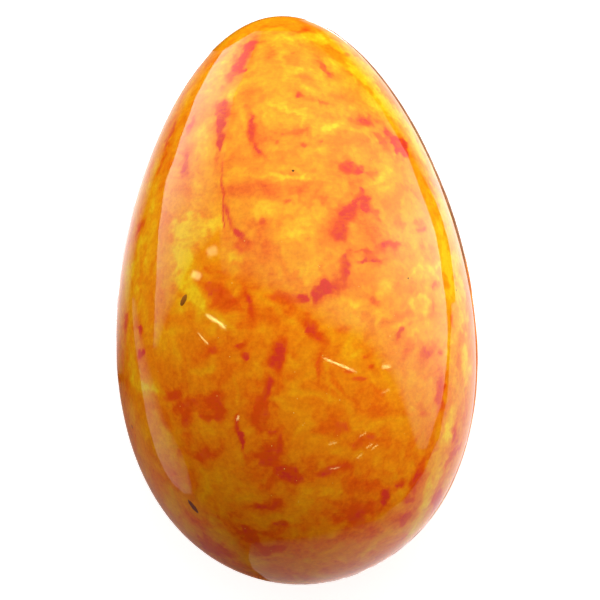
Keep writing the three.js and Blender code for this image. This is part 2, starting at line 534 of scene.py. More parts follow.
# Layers of dabs on the upper half, the lowest first. A row has a dab's place across and along, its length,
# width and cover, and its turn unless it lies level, in millimetres and degrees of the picture.
LAYERS = (
    (YELLOW, (
        (-20.8, 59.2, 7.9, 3.4, 0.7, 62), (-16.8, 54.6, 5.8, 2.9, 0.9, 30),
        (-24.4, 42.1, 7.9, 4.5, 0.9, 80), (-36.6, 32.9, 7.4, 2.4, 0.8, 70), (21.4, 32.1, 5.8, 2.6, 0.8, 30),
        (23.0, 22.1, 7.9, 3.2, 0.8, 110), (26.7, 17.3, 7.9, 2.6, 0.7, -40),
        (-37.9, 26.3, 8.7, 2.9, 0.8, 76), (4.3, 7.8, 9.7, 4.0, 0.9, 40), (6.9, 9.4, 5.8, 3.4, 0.8, 20),
        (2.7, 5.0, 5.8, 2.4, 0.7, 10), (32.2, 12.5, 7.9, 3.4, 0.8, 70), (34.3, 7.2, 5.3, 4.0, 0.8),
        (12.4, -1.4, 8.4, 5.3, 0.9), (14.8, -5.3, 5.8, 3.7, 0.8, 20), (-42.6, -5.6, 5.3, 1.3, 0.7, 92),
        (-24.7, -18.8, 7.1, 1.7, 0.8, 10), (8.9, -20.1, 11.1, 0.9, 0.8, 95),
        (17.7, -13.5, 8.4, 1.4, 0.8, 20), (-15.5, -24.0, 9.7, 0.7, 0.7, 92),
        (20.6, 31.0, 9.0, 3.7, 0.6, -40), (30.1, 10.0, 10.5, 5.3, 0.6, -60),
        (-32.6, 41.6, 7.9, 3.2, 0.6, 60), (20.6, 24.7, 5.8, 4.2, 0.6, -50),
    )),
    (ORANGE, (
        (-1.0, 41.4, 18.4, 3.7, 0.6), (-2.3, 29.2, 14.5, 2.4, 0.5), (-4.3, 64.5, 5.8, 5.8, 0.4),
        (11.1, 66.5, 5.8, 2.6, 0.6, -30), (8.9, 26.3, 5.8, 2.9, 0.5), (-11.5, 7.2, 9.2, 4.5, 0.6, -20),
        (-8.9, 13.1, 7.9, 4.0, 0.5, -30), (17.4, 5.2, 7.9, 2.9, 0.6, 20), (-31.3, -5.3, 7.4, 4.2, 0.5, 10),
        (-20.8, -13.2, 8.7, 4.0, 0.5), (-10.0, -13.9, 4.5, 4.5, 0.5), (-10.5, -27.1, 13.2, 6.1, 0.55, 88),
        (20.1, -26.4, 9.2, 7.9, 0.35), (-42.5, 13.1, 7.9, 1.6, 0.4, 88), (-33.9, 5.2, 6.6, 3.2, 0.4, 80),
        (37.2, -21.1, 7.9, 2.4, 0.5, 85), (20.1, 10.0, 6.8, 3.2, 0.5, 70),
        (-11.5, -15.9, 6.8, 3.7, 0.6, 50), (-11.5, 63.7, 5.8, 3.7, 0.6, 20),
    )),
    (YELLOW, (
        (1.6, 69.5, 19.8, 2.9, 0.9, 5), (-17.5, 64.2, 10.5, 2.4, 0.7, 50), (-1.0, 61.8, 9.7, 5.3, 0.9, 120),
        (6.9, 55.9, 7.9, 3.3, 0.8), (-13.5, 48.9, 10.0, 1.6, 0.9, 105), (-12.2, 40.5, 6.8, 1.2, 0.8, 110),
        (0.3, 48.0, 19.8, 5.5, 0.9, -5), (-5.0, 50.7, 7.9, 6.1, 0.7), (-6.3, 23.0, 15.8, 5.8, 0.9, 15),
        (3.0, 22.3, 11.1, 6.6, 0.9, -10), (0.6, 18.9, 11.1, 5.0, 0.8), (24.3, 1.0, 8.7, 5.3, 0.9, 90),
        (28.2, -5.3, 8.7, 5.3, 0.9, -30), (22.4, -4.3, 7.1, 3.4, 0.8, 90), (34.6, -7.3, 5.3, 3.4, 0.7),
        (19.1, -11.9, 5.8, 1.6, 0.8, 45), (32.2, -9.5, 4.5, 2.4, 0.7), (9.5, 20.5, 6.8, 3.7, 0.6, 20),
        (9.5, 6.3, 6.8, 4.2, 0.7, 20),
    )),
    (AMBER, (
        (-32.6, 26.3, 9.2, 4.0, 0.6, 80), (15.5, 17.1, 5.3, 5.0, 0.6), (-37.4, -11.9, 8.7, 4.0, 0.8, 90),
        (-33.3, -11.9, 7.1, 5.3, 0.7), (-27.1, -11.9, 11.1, 3.7, 0.7), (13.5, -29.0, 11.1, 1.2, 0.72, -47),
        (23.0, -15.9, 8.4, 1.8, 0.7), (4.3, -32.5, 9.7, 5.0, 0.64, 20), (0.6, -34.6, 5.8, 1.6, 0.64, 20),
        (6.9, -38.2, 12.6, 5.5, 0.9), (26.9, -31.9, 7.1, 3.7, 0.6), (-36.6, -39.8, 15.8, 1.7, 0.72, -63),
        (-33.9, -36.9, 7.9, 2.6, 0.7, -70), (-0.2, -43.3, 10.0, 1.2, 0.48, -50),
        (-41.8, 5.2, 10.5, 2.1, 0.6, 88), (20.1, -26.4, 6.8, 5.3, 0.8),
    )),
    (BRIGHT, (
        (12.2, 67.1, 8.7, 2.1, 0.9, -30), (17.7, 60.3, 12.6, 5.0, 1.0, -50),
        (25.1, 51.0, 12.6, 3.7, 1.0, -52), (32.2, 41.4, 11.1, 2.6, 0.9, -62),
        (6.9, 46.0, 12.6, 2.4, 0.9, 5), (0.3, 32.7, 15.3, 1.2, 0.9, 2), (36.1, 35.5, 7.9, 2.4, 0.9, -65),
        (39.6, 23.7, 11.9, 2.6, 0.9, -76), (41.7, 12.5, 14.5, 3.2, 1.0, -81),
        (44.0, 0.6, 15.8, 2.9, 1.0, -84), (-28.0, 17.1, 8.7, 7.4, 1.0), (33.6, -0.8, 5.8, 4.0, 0.9),
        (-39.7, -23.2, 5.8, 3.2, 1.0, -20), (31.1, 21.5, 7.9, 4.2, 0.7, -60),
    )),
    (YELLOW, (
        (13.7, 48.7, 4.5, 2.6, 0.9), (-11.5, 33.1, 5.8, 1.3, 0.7, -10), (-14.2, 35.2, 4.0, 1.6, 0.7),
        (42.7, -7.3, 10.5, 2.6, 0.9, 95), (-24.4, 19.0, 11.9, 4.0, 0.9, 10), (-20.8, 14.4, 5.8, 3.4, 0.7),
        (20.6, 52.6, 9.0, 4.2, 0.8, -55), (-1.5, 41.6, 10.5, 4.2, 0.6, 5), (9.5, 62.6, 7.9, 3.7, 0.6, -30),
        (-43.1, -0.1, 15.8, 3.7, 0.7, 85), (-42.6, -11.9, 13.2, 3.2, 0.6, -80),
        (31.1, -0.1, 7.9, 3.7, 0.5, -20), (24.3, 47.9, 17.4, 2.4, 0.9, -54),
        (28.0, 41.6, 10.5, 2.1, 0.8, -58), (31.1, 25.2, 6.8, 3.7, 0.7, -60),
    )),
    (ORANGE, (
        (-11.5, 20.5, 5.8, 3.2, 0.6, -60), (14.8, -10.6, 13.2, 3.2, 0.3, -30),
        (20.6, -11.9, 7.9, 3.7, 0.5, 40), (-10.7, 28.9, 13.7, 3.2, 0.6, -4), (-10.7, 20.5, 8.4, 2.4, 0.6),
        (-33.7, 33.7, 8.4, 1.6, 0.7, 66), (-4.2, 47.4, 12.1, 5.3, 0.75, -5),
        (2.2, 63.2, 9.5, 4.2, 0.8, -10), (17.4, 41.8, 10.5, 3.7, 0.6, -30),
        (8.5, 32.6, 11.6, 4.7, 0.65, 20), (-37.9, -10.6, 6.8, 2.6, 0.5, 80),
        (20.1, -5.3, 6.8, 3.7, 0.5, 30), (9.5, 47.6, 5.8, 3.2, 0.5), (20.1, 15.8, 5.3, 3.7, 0.4, 20),
        (4.3, 36.8, 4.7, 3.2, 0.6), (4.5, 63.2, 6.8, 4.2, 0.7, -20), (6.4, 57.9, 9.0, 3.7, 0.5, -20),
        (10.1, 42.1, 9.0, 4.7, 0.65, 10), (20.3, 39.2, 10.0, 6.3, 0.65, 70), (4.3, 36.8, 5.8, 4.2, 0.5),
        (20.1, -8.2, 7.9, 4.7, 0.5, 80), (-16.3, 57.9, 5.3, 3.2, 0.5, 50),
    )),
    (RED, (
        (1.2, 71.3, 4.7, 1.6, 0.6, 10), (1.6, 54.2, 2.1, 1.3, 0.9), (-27.3, 46.0, 4.5, 1.2, 0.7, 70),
        (-28.7, 35.5, 6.3, 2.4, 0.85, 90), (-1.7, 26.0, 2.2, 1.2, 0.6), (19.0, -15.2, 1.4, 1.2, 0.7),
        (20.3, -17.3, 1.2, 1.1, 0.7), (14.8, -19.3, 2.0, 1.1, 0.6), (17.4, -21.4, 2.9, 1.2, 0.6),
        (-32.6, 43.4, 7.9, 1.1, 0.7, 68), (-35.0, 35.5, 6.6, 0.9, 0.5, 72),
    )),
    (DEEP, (
        (-21.4, 5.2, 7.9, 5.8, 0.5), (-24.7, -28.0, 14.5, 6.1, 0.5, -5), (26.7, -43.5, 9.2, 5.3, 0.45, 20),
        (34.6, -43.5, 11.9, 4.0, 0.5, 75), (17.4, -53.4, 14.5, 11.9, 0.5, 10),
        (-8.9, -54.0, 19.8, 9.2, 0.3, 10), (1.6, -67.2, 9.2, 3.4, 0.35), (-26.0, -47.5, 7.9, 4.0, 0.4, 100),
        (-23.4, -60.6, 9.2, 3.4, 0.4, -45), (-14.2, -60.6, 10.5, 4.0, 0.3, -20),
    )),
    (AMBER, (
        (-22.1, -22.7, 8.4, 2.6, 0.7), (-19.4, -47.5, 9.2, 7.9, 0.5), (3.0, -51.7, 13.2, 7.9, 0.6),
        (8.5, -50.1, 8.7, 5.3, 0.5), (-6.3, -57.5, 11.9, 1.1, 0.4), (-3.6, -70.1, 18.4, 5.0, 0.8),
        (12.4, -64.8, 16.3, 3.4, 0.5, 32), (23.4, -62.0, 8.7, 2.1, 0.7, 42),
        (30.1, -42.7, 7.9, 3.7, 0.48, 50), (25.9, -42.7, 6.8, 4.7, 0.7, 50),
        (9.5, -0.1, 13.2, 5.3, 0.6, -80),
    )),
    (YELLOW, (
        (-17.1, 12.1, 7.4, 2.1, 0.8, 105), (-5.6, -1.6, 16.3, 1.7, 0.9, -38),
        (-2.1, -5.3, 7.9, 2.4, 0.7, -35), (30.1, -46.9, 13.2, 3.2, 0.7, 58),
        (14.8, 57.9, 5.3, 4.2, 0.7, -40), (-16.8, 52.6, 5.3, 3.7, 0.6, 60),
    )),
    (ROSE, (
        (17.2, 47.9, 5.8, 3.2, 0.6, -20), (21.4, 23.1, 5.8, 1.8, 0.7, -58), (13.2, 22.9, 7.4, 3.7, 0.6, 60),
        (13.2, 8.6, 5.8, 3.2, 0.7, 80), (1.6, 44.7, 6.3, 1.8, 0.5, 10), (-8.4, 53.7, 4.2, 2.1, 0.4, 40),
        (10.9, 53.7, 5.8, 1.8, 0.5, -25), (3.0, 59.2, 6.3, 1.6, 0.4, 5),
    )),
    (RED, (
        (8.6, 61.2, 5.8, 1.8, 0.7, -50), (7.2, 52.4, 4.5, 0.9, 0.8, -20), (-4.7, 41.7, 1.7, 1.1, 0.6),
        (2.3, 40.8, 2.0, 1.1, 0.7), (6.9, 41.7, 1.7, 1.1, 0.6), (-3.4, 43.7, 1.4, 1.1, 0.5),
        (18.5, 47.4, 7.4, 2.4, 0.8, -15),
    )),
    (ORANGE, (
        (-16.8, -0.3, 9.2, 5.8, 0.6, -10), (-10.2, 10.0, 10.5, 6.8, 0.8, 20),
        (-21.0, -52.7, 10.5, 4.2, 0.6, 60), (9.5, -54.0, 11.6, 5.3, 0.7, 10), (1.6, -64.6, 15.8, 3.7, 0.8),
        (-10.2, -43.5, 7.9, 3.7, 0.4, 20),
    )),
    (AMBER, (
        (1.6, -15.9, 10.5, 7.4, 0.8, 90), (3.2, -22.4, 11.9, 7.1, 0.8, 85),
        (9.5, -30.6, 8.4, 3.7, 0.64, -30), (15.1, -35.9, 6.1, 2.6, 0.7, -30), (-1.0, -42.2, 5.3, 3.7, 0.7),
        (1.1, -42.2, 10.5, 4.2, 0.6, 10), (-21.5, -62.7, 7.9, 2.6, 0.6, -20),
    )),
    (DEEP, (
        (-12.9, 8.4, 4.7, 3.7, 0.5, 60), (9.5, -32.7, 5.8, 3.7, 0.6, 40), (12.2, -62.7, 6.3, 2.1, 0.5, 20),
        (-6.5, -48.8, 5.8, 3.2, 0.6), (-4.7, -61.2, 7.9, 3.2, 0.6), (-11.3, -63.5, 5.8, 3.7, 0.7),
    )),
    (ORANGE, (
        (9.0, -31.1, 9.5, 6.3, 0.7, 30), (-6.5, 11.0, 13.7, 4.7, 0.7, -30),
        (-10.7, 4.2, 11.6, 3.7, 0.7, -15), (18.0, -62.2, 9.0, 3.2, 0.7, 20),
        (-7.8, 10.0, 14.8, 9.5, 0.6, -30), (-1.0, 5.0, 6.8, 4.2, 0.7), (-11.5, 15.8, 7.9, 4.2, 0.5, 40),
        (-8.4, 8.1, 14.8, 9.5, 0.55, -20), (-0.5, 5.2, 5.3, 4.7, 0.5), (4.3, -58.3, 7.4, 4.2, 0.6, 10),
        (1.6, -26.9, 9.0, 3.2, 0.5),
    )),
    (BRIGHT, (
        (-29.2, 11.5, 12.1, 3.7, 1.0, 95), (45.8, -16.1, 11.9, 2.9, 0.9, 92),
        (40.6, 10.0, 13.2, 2.6, 0.8, -75), (25.3, -0.1, 6.8, 4.2, 0.6, -30),
    )),
    (YELLOW, (
        (-28.1, 5.2, 10.8, 3.6, 0.8, 104), (-25.5, -0.1, 8.2, 3.2, 0.8, 125),
        (-21.0, -4.5, 7.4, 2.2, 0.8, 140), (-17.1, -7.4, 4.5, 1.2, 0.8, 150), (-30.0, -1.6, 4.5, 3.7, 0.7),
        (43.3, -22.7, 11.1, 2.4, 0.8, 98), (40.5, -38.2, 16.3, 1.4, 0.9, 71),
        (42.5, -0.1, 13.2, 4.7, 0.8, -80), (41.1, -11.9, 13.2, 4.7, 0.7, 85),
        (-32.6, 10.0, 13.2, 6.8, 0.5, 85), (-27.3, 17.9, 9.0, 6.8, 0.8, -10),
        (-37.9, 13.6, 13.2, 3.7, 0.85, 80), (-42.9, -0.1, 21.1, 3.2, 0.7, 88),
        (-42.1, -18.5, 15.8, 3.2, 0.8, -80), (-17.3, -0.3, 5.3, 3.2, 0.6, 20),
        (-22.1, -5.8, 7.9, 5.3, 0.6, -40), (-33.7, -38.5, 18.4, 3.2, 0.7, -68),
        (-11.5, -52.7, 10.5, 3.2, 0.5, 10), (-37.9, 15.2, 7.9, 3.2, 0.7, 85),
        (-42.9, -8.0, 23.7, 3.2, 0.5, 90), (25.3, -0.6, 5.3, 4.7, 0.6),
    )),
    (AMBER, (
        (-11.5, -8.0, 5.8, 2.4, 0.7), (-4.2, -10.6, 9.5, 4.2, 0.7, 10), (20.6, -55.9, 9.5, 4.7, 0.7, 20),
        (-11.5, -58.0, 6.8, 3.2, 0.6), (1.1, -9.0, 11.6, 4.7, 0.6, 20), (20.1, -52.7, 6.8, 4.7, 0.8, 10),
        (-11.5, -58.0, 6.3, 3.7, 0.6),
    )),
    (RED, (
        (-41.0, 18.9, 4.2, 1.1, 0.6, 72), (-44.5, -5.8, 4.7, 1.1, 0.6, 88),
        (-31.3, -47.6, 4.2, 1.6, 0.5, -62), (-8.8, 21.0, 2.6, 1.6, 0.6), (-32.5, -25.1, 5.8, 2.1, 0.6, 30),
        (-7.6, -54.8, 5.8, 1.4, 0.7), (-4.2, -54.0, 2.9, 1.7, 0.7), (-3.9, -60.1, 3.4, 1.4, 0.9),
        (-12.7, -60.6, 4.5, 1.8, 0.7, -30), (-11.3, -63.5, 5.8, 1.6, 0.8, -42),
    )),
    (ROSE, (
        (-1.8, 0.5, 8.4, 2.4, 0.7, -10), (-4.7, -13.0, 7.9, 4.7, 0.6, 60), (12.7, -7.7, 3.7, 2.1, 0.5),
        (-6.5, -23.5, 5.3, 3.7, 0.8, 80), (-21.3, -65.4, 9.5, 3.2, 0.6, -35), (-8.4, -30.3, 3.2, 9.0, 0.6),
        (-26.6, -27.2, 4.5, 2.4, 0.68), (-20.8, -26.5, 4.5, 2.4, 0.68), (-28.7, -33.2, 5.8, 2.4, 0.77, 90),
        (12.8, -33.8, 4.5, 3.7, 0.7), (-20.5, -66.2, 8.7, 3.4, 0.72, -32),
    )),
    (BRIGHT, (
        (36.5, -50.4, 13.7, 1.2, 0.9, 72), (-28.9, 10.0, 13.2, 4.2, 0.8, 88),
        (35.6, 17.9, 15.8, 3.7, 0.6, -68), (35.9, 5.7, 10.5, 3.7, 0.7, -78),
        (30.6, 15.8, 6.8, 4.7, 0.6, -70),
    )),
    (YELLOW, (
        (-31.0, 13.1, 15.8, 3.2, 0.6, 85), (-32.6, -0.1, 6.3, 3.2, 0.6, 80),
        (41.1, -0.1, 10.5, 3.2, 0.8, -85), (40.9, -8.0, 15.8, 4.2, 0.8, 88),
        (35.9, -13.2, 15.8, 5.3, 0.6, 86), (31.1, -13.2, 10.5, 3.7, 0.5, 80),
        (31.7, -24.3, 11.6, 3.7, 0.7, 70), (38.5, -24.3, 11.6, 3.7, 0.7, 78),
        (-23.1, 20.0, 13.2, 4.2, 0.9, 10), (-28.9, 12.6, 17.4, 4.5, 0.95, -88),
        (-27.3, 3.1, 10.5, 4.2, 0.95, -62), (-23.4, -3.2, 11.6, 3.4, 0.95, -48),
        (40.9, -36.4, 18.4, 3.2, 0.8, 80),
    )),
    (ROSE, (
        (24.8, 13.6, 4.5, 1.8, 0.6, -20), (-17.3, 24.2, 6.8, 2.4, 0.6, -75), (-14.7, 13.1, 3.7, 2.6, 0.5),
        (-21.5, 2.6, 4.7, 3.2, 0.6), (20.3, 11.5, 5.8, 2.4, 0.6, -10), (-14.2, 11.8, 4.2, 1.8, 0.5, -70),
    )),
    (RED, (
        (41.9, -41.4, 7.9, 0.8, 0.7, 62), (-19.4, -30.1, 4.5, 2.1, 0.7, 90), (-23.9, -30.9, 5.3, 1.8, 0.6),
        (16.9, -38.4, 2.9, 1.6, 0.6), (42.6, -35.7, 5.8, 1.4, 0.9, 76), (-5.6, -66.2, 5.8, 2.1, 0.6),
    )),
    (CRIMSON, (
        (-13.1, 64.4, 7.9, 2.8, 1.0, 58), (18.6, 26.2, 7.4, 3.4, 1.0, 115),
        (-40.5, -7.4, 2.9, 1.2, 0.9, 90), (-13.9, -37.2, 7.1, 1.2, 1.0, 103),
        (37.9, -53.5, 5.8, 2.0, 1.0, 65),
    )),
    (RED, (
        (-16.0, 60.3, 7.4, 2.1, 0.8, 60), (14.4, 21.9, 10.8, 3.4, 0.95, 65),
        (14.8, 34.7, 7.1, 2.9, 0.7, -20), (20.3, 33.4, 4.0, 2.1, 0.5), (10.9, 18.1, 4.5, 2.1, 0.7, 60),
        (-40.4, -14.7, 3.4, 1.2, 0.9, 88), (-15.2, -31.7, 4.5, 0.9, 0.7, 92),
    )),
    (BRIGHT, (
        (39.6, 13.1, 30.6, 4.0, 1, -75), (36.4, -42.2, 7.4, 3.4, 0.8, 72),
    )),
    (YELLOW, (
        (37.5, -8.0, 15.8, 4.2, 0.5, 86), (35.9, -23.8, 9.0, 3.7, 0.6, 80),
        (41.4, -13.2, 18.4, 3.2, 0.7, 90), (30.6, -50.1, 7.9, 3.7, 0.7, 60),
    )),
    (ROSE, (
        (17.2, -55.6, 8.4, 3.7, 0.5, 20), (27.4, -4.8, 6.8, 2.1, 0.4, 30), (21.4, -0.1, 5.3, 2.1, 0.5, -30),
        (35.9, -13.7, 4.2, 1.6, 0.5, 70), (20.3, -36.9, 4.5, 2.4, 0.6), (-23.4, -41.0, 7.1, 2.9, 0.59),
        (16.8, -57.5, 5.8, 4.7, 0.5),
    )),
    (AMBER, (
        (-31.3, -3.0, 5.3, 3.2, 0.8, -60), (41.7, 15.8, 6.8, 3.2, 0.6, 100),
        (35.9, 23.7, 7.9, 3.2, 0.6, -70), (-34.5, -39.6, 17.4, 3.7, 0.8, -66),
        (9.5, 20.5, 5.8, 4.2, 0.55, 60),
    )),
    (CRIMSON, (
        (-19.7, 44.5, 12.4, 1.8, 1.0, 84), (27.3, 40.6, 8.7, 2.9, 1.0, -55), (7.6, 2.4, 8.2, 3.7, 1.0, 26),
        (2.2, -0.1, 3.4, 2.6, 1.0), (24.0, -52.2, 4.2, 2.2, 0.95, 60),
    )),
    (RED, (
        (-18.8, 49.5, 3.7, 2.0, 0.8, 80), (-11.5, 46.0, 9.7, 2.6, 0.95, 98),
        (-9.7, 40.4, 4.5, 1.2, 0.9, 125), (23.8, 41.0, 5.8, 1.3, 0.6, -60), (13.5, 7.8, 8.4, 1.6, 0.8, 88),
        (17.7, 13.1, 7.1, 0.8, 0.7), (19.7, 10.5, 8.4, 0.8, 0.7, 4), (25.6, 14.3, 5.8, 1.3, 0.7),
        (5.2, -7.4, 6.6, 2.4, 0.9, -58), (37.2, 3.9, 2.9, 1.3, 0.6, 80), (36.7, -1.6, 4.0, 1.2, 0.5, 85),
        (6.9, -17.2, 7.9, 0.9, 0.5, 82), (34.6, -30.3, 2.9, 2.1, 0.5), (28.1, -48.9, 4.5, 2.1, 0.8, 30),
        (32.1, -47.6, 5.8, 2.1, 0.8, 70), (30.7, -52.9, 2.4, 1.8, 0.7), (29.3, -57.5, 3.4, 1.4, 0.8, 30),
        (41.8, -5.3, 4.0, 1.1, 0.4, 88),
    )),
    (ORANGE, (
        (-11.5, -5.3, 6.8, 3.7, 0.6, 30), (25.3, -15.9, 6.8, 4.2, 0.6, 40),
    )),
    (ROSE, (
        (33.2, 21.0, 2.9, 1.6, 0.4), (30.6, -11.9, 4.7, 2.1, 0.5, 60),
    )),
    (RED, (
        (33.6, 18.9, 2.6, 1.6, 0.5), (28.8, -8.5, 4.5, 1.1, 0.7, 62), (34.7, -14.0, 4.2, 2.4, 0.7, 80),
        (38.6, -14.0, 2.0, 1.4, 0.7), (38.8, -25.1, 8.4, 1.6, 0.7, 82),
    )),
    (BRIGHT, (
        (37.7, -43.8, 24.2, 2.1, 0.85, 73), (36.9, -49.6, 15.8, 2.1, 0.85, 65),
        (32.2, -60.1, 10.5, 1.8, 0.8, 55),
    )),
    (YELLOW, (
        (-18.9, -7.2, 5.8, 2.1, 0.7, -25), (41.1, -34.8, 15.8, 2.1, 0.6, 78),
    )),
    (AMBER, (
        (-20.0, -10.6, 10.5, 4.2, 0.6), (31.7, -44.8, 15.8, 1.6, 0.6, 66), (17.4, 20.5, 7.9, 3.2, 0.5, 10),
    )),
    (ROSE, (
        (-18.9, 0.2, 8.4, 4.7, 0.6, 15), (-22.1, -13.5, 3.4, 2.9, 0.7),
    )),
    (RED, (
        (-18.4, 27.3, 13.7, 0.7, 1.0, 92), (-16.5, 21.5, 7.9, 0.7, 0.8, 103),
        (-12.2, 0.2, 7.1, 1.6, 0.9, 108), (-13.6, -11.8, 2.6, 1.2, 0.8, 20), (-12.7, -14.9, 2.0, 1.6, 0.8),
        (-4.6, -14.8, 6.8, 3.4, 0.95, 80), (-6.3, -22.4, 7.4, 2.1, 0.85, 99),
        (-3.6, -37.7, 5.8, 1.6, 0.7, 88), (-5.6, -34.6, 2.9, 1.3, 0.6),
    )),
    (CRIMSON, (
        (-14.0, 16.5, 5.3, 2.1, 0.9, 122), (5.8, 0.2, 5.3, 2.4, 0.8, 75),
    )),
    (BRIGHT, (
        (-25.5, 19.4, 10.5, 6.3, 0.8, 15), (-29.2, 11.5, 14.2, 4.5, 0.85, 84),
        (-25.8, -0.1, 10.5, 2.9, 0.75, -55),
    )),
    (YELLOW, (
        (-21.0, -5.8, 7.9, 2.4, 0.6, -40),
    )),
    (AMBER, (
        (4.0, 0.5, 4.7, 1.2, 0.75, 88),
    )),
    (ROSE, (
        (-7.6, -41.7, 7.1, 5.0, 0.77, 40),
    )),
    (RED, (
        (-1.5, -45.6, 7.4, 4.5, 0.85, -12), (10.2, -44.8, 7.1, 2.1, 0.6, 10), (13.7, -44.2, 2.9, 1.8, 0.6),
    )),
    (AMBER, (
        (1.6, -42.2, 9.5, 3.7, 0.5),
    )),
)

# How often each pigment comes among the scattered dabs of the lower half.
SCATTERED_SHARES = {YELLOW: 0.24, BRIGHT: 0.14, AMBER: 0.2, ORANGE: 0.16, DEEP: 0.1, RED: 0.16}

EDGE_WIDTH = 1.4  # millimetres over which the edge of a wide dab fades
SOFTEST_EDGE = 0.6  # the most that an edge is spread, as a share of the dab's half width


@dataclass(frozen=True)
class Dab:
    """One dab of tinted cocoa butter, in millimetres and degrees of the picture."""

    pigment: Pigment
    across: float
    along: float
    length: float
    width: float
    cover: float
    turn: float = 0.0

    def weight(self, spots: np.ndarray, ragged: np.ndarray, spread: float = 1.0) -> np.ndarray:
        """Works out how strongly the dab covers places in the picture.

        Args:
            spots: rows of the distances across and along, in millimetres.
            ragged: how much further each place counts as being from the dab's middle.
            spread: how many times wider than the dab itself the cover reaches.

        Returns:
            The cover at each place, from 0 to 1.
        """
        turn = math.radians(self.turn)
        across, along = spots[:, 0] - self.across, spots[:, 1] - self.along
        lengthways = across * math.cos(turn) + along * math.sin(turn)
        sideways = along * math.cos(turn) - across * math.sin(turn)
        far = np.hypot(lengthways / (self.length / 2), sideways / (self.width / 2))
        return covered(far / spread + ragged, softness(self.width)) * self.cover


def softness(width: float) -> float:
    """Returns how far the edge of a dab is spread, for its width in millimetres."""
    return min(SOFTEST_EDGE, EDGE_WIDTH / width)


def covered(far: np.ndarray, softness: float) -> np.ndarray:
    """Eases from 1 inside a distance of 1 to 0 outside it.

    Args:
        far: distances, where 1 is the edge.
        softness: how far the edge is spread each way.

    Returns:
        The eased values.
    """
    share = np.clip((1 + softness - far) / (2 * softness), 0, 1)
    return share * share * (3 - 2 * share)


def wandering(places: np.ndarray, size: float, reach: float, seed: float) -> np.ndarray:
    """Makes a smooth random shift for each place.

    Args:
        places: rows of places, in metres.
        size: the size of the waves, in metres.
        reach: the longest shift.
        seed: a number that sets this shift apart from others.

    Returns:
        Rows of shifts in three directions.
    """
    shift = Vector((seed, seed * 0.7, seed * 1.3))
    return np.array([noise.noise_vector(Vector(place) / size + shift) for place in places]) * reach


def swayed(places: np.ndarray, sways: tuple[tuple[float, float, float], ...]) -> np.ndarray:
    """Adds up smooth random shifts.

    Args:
        places: rows of places, in metres.
        sways: the waves' size in metres, the reach and the seed of each shift.

    Returns:
        Rows of shifts in three directions.
    """
    return sum(wandering(places, *sway) for sway in sways)


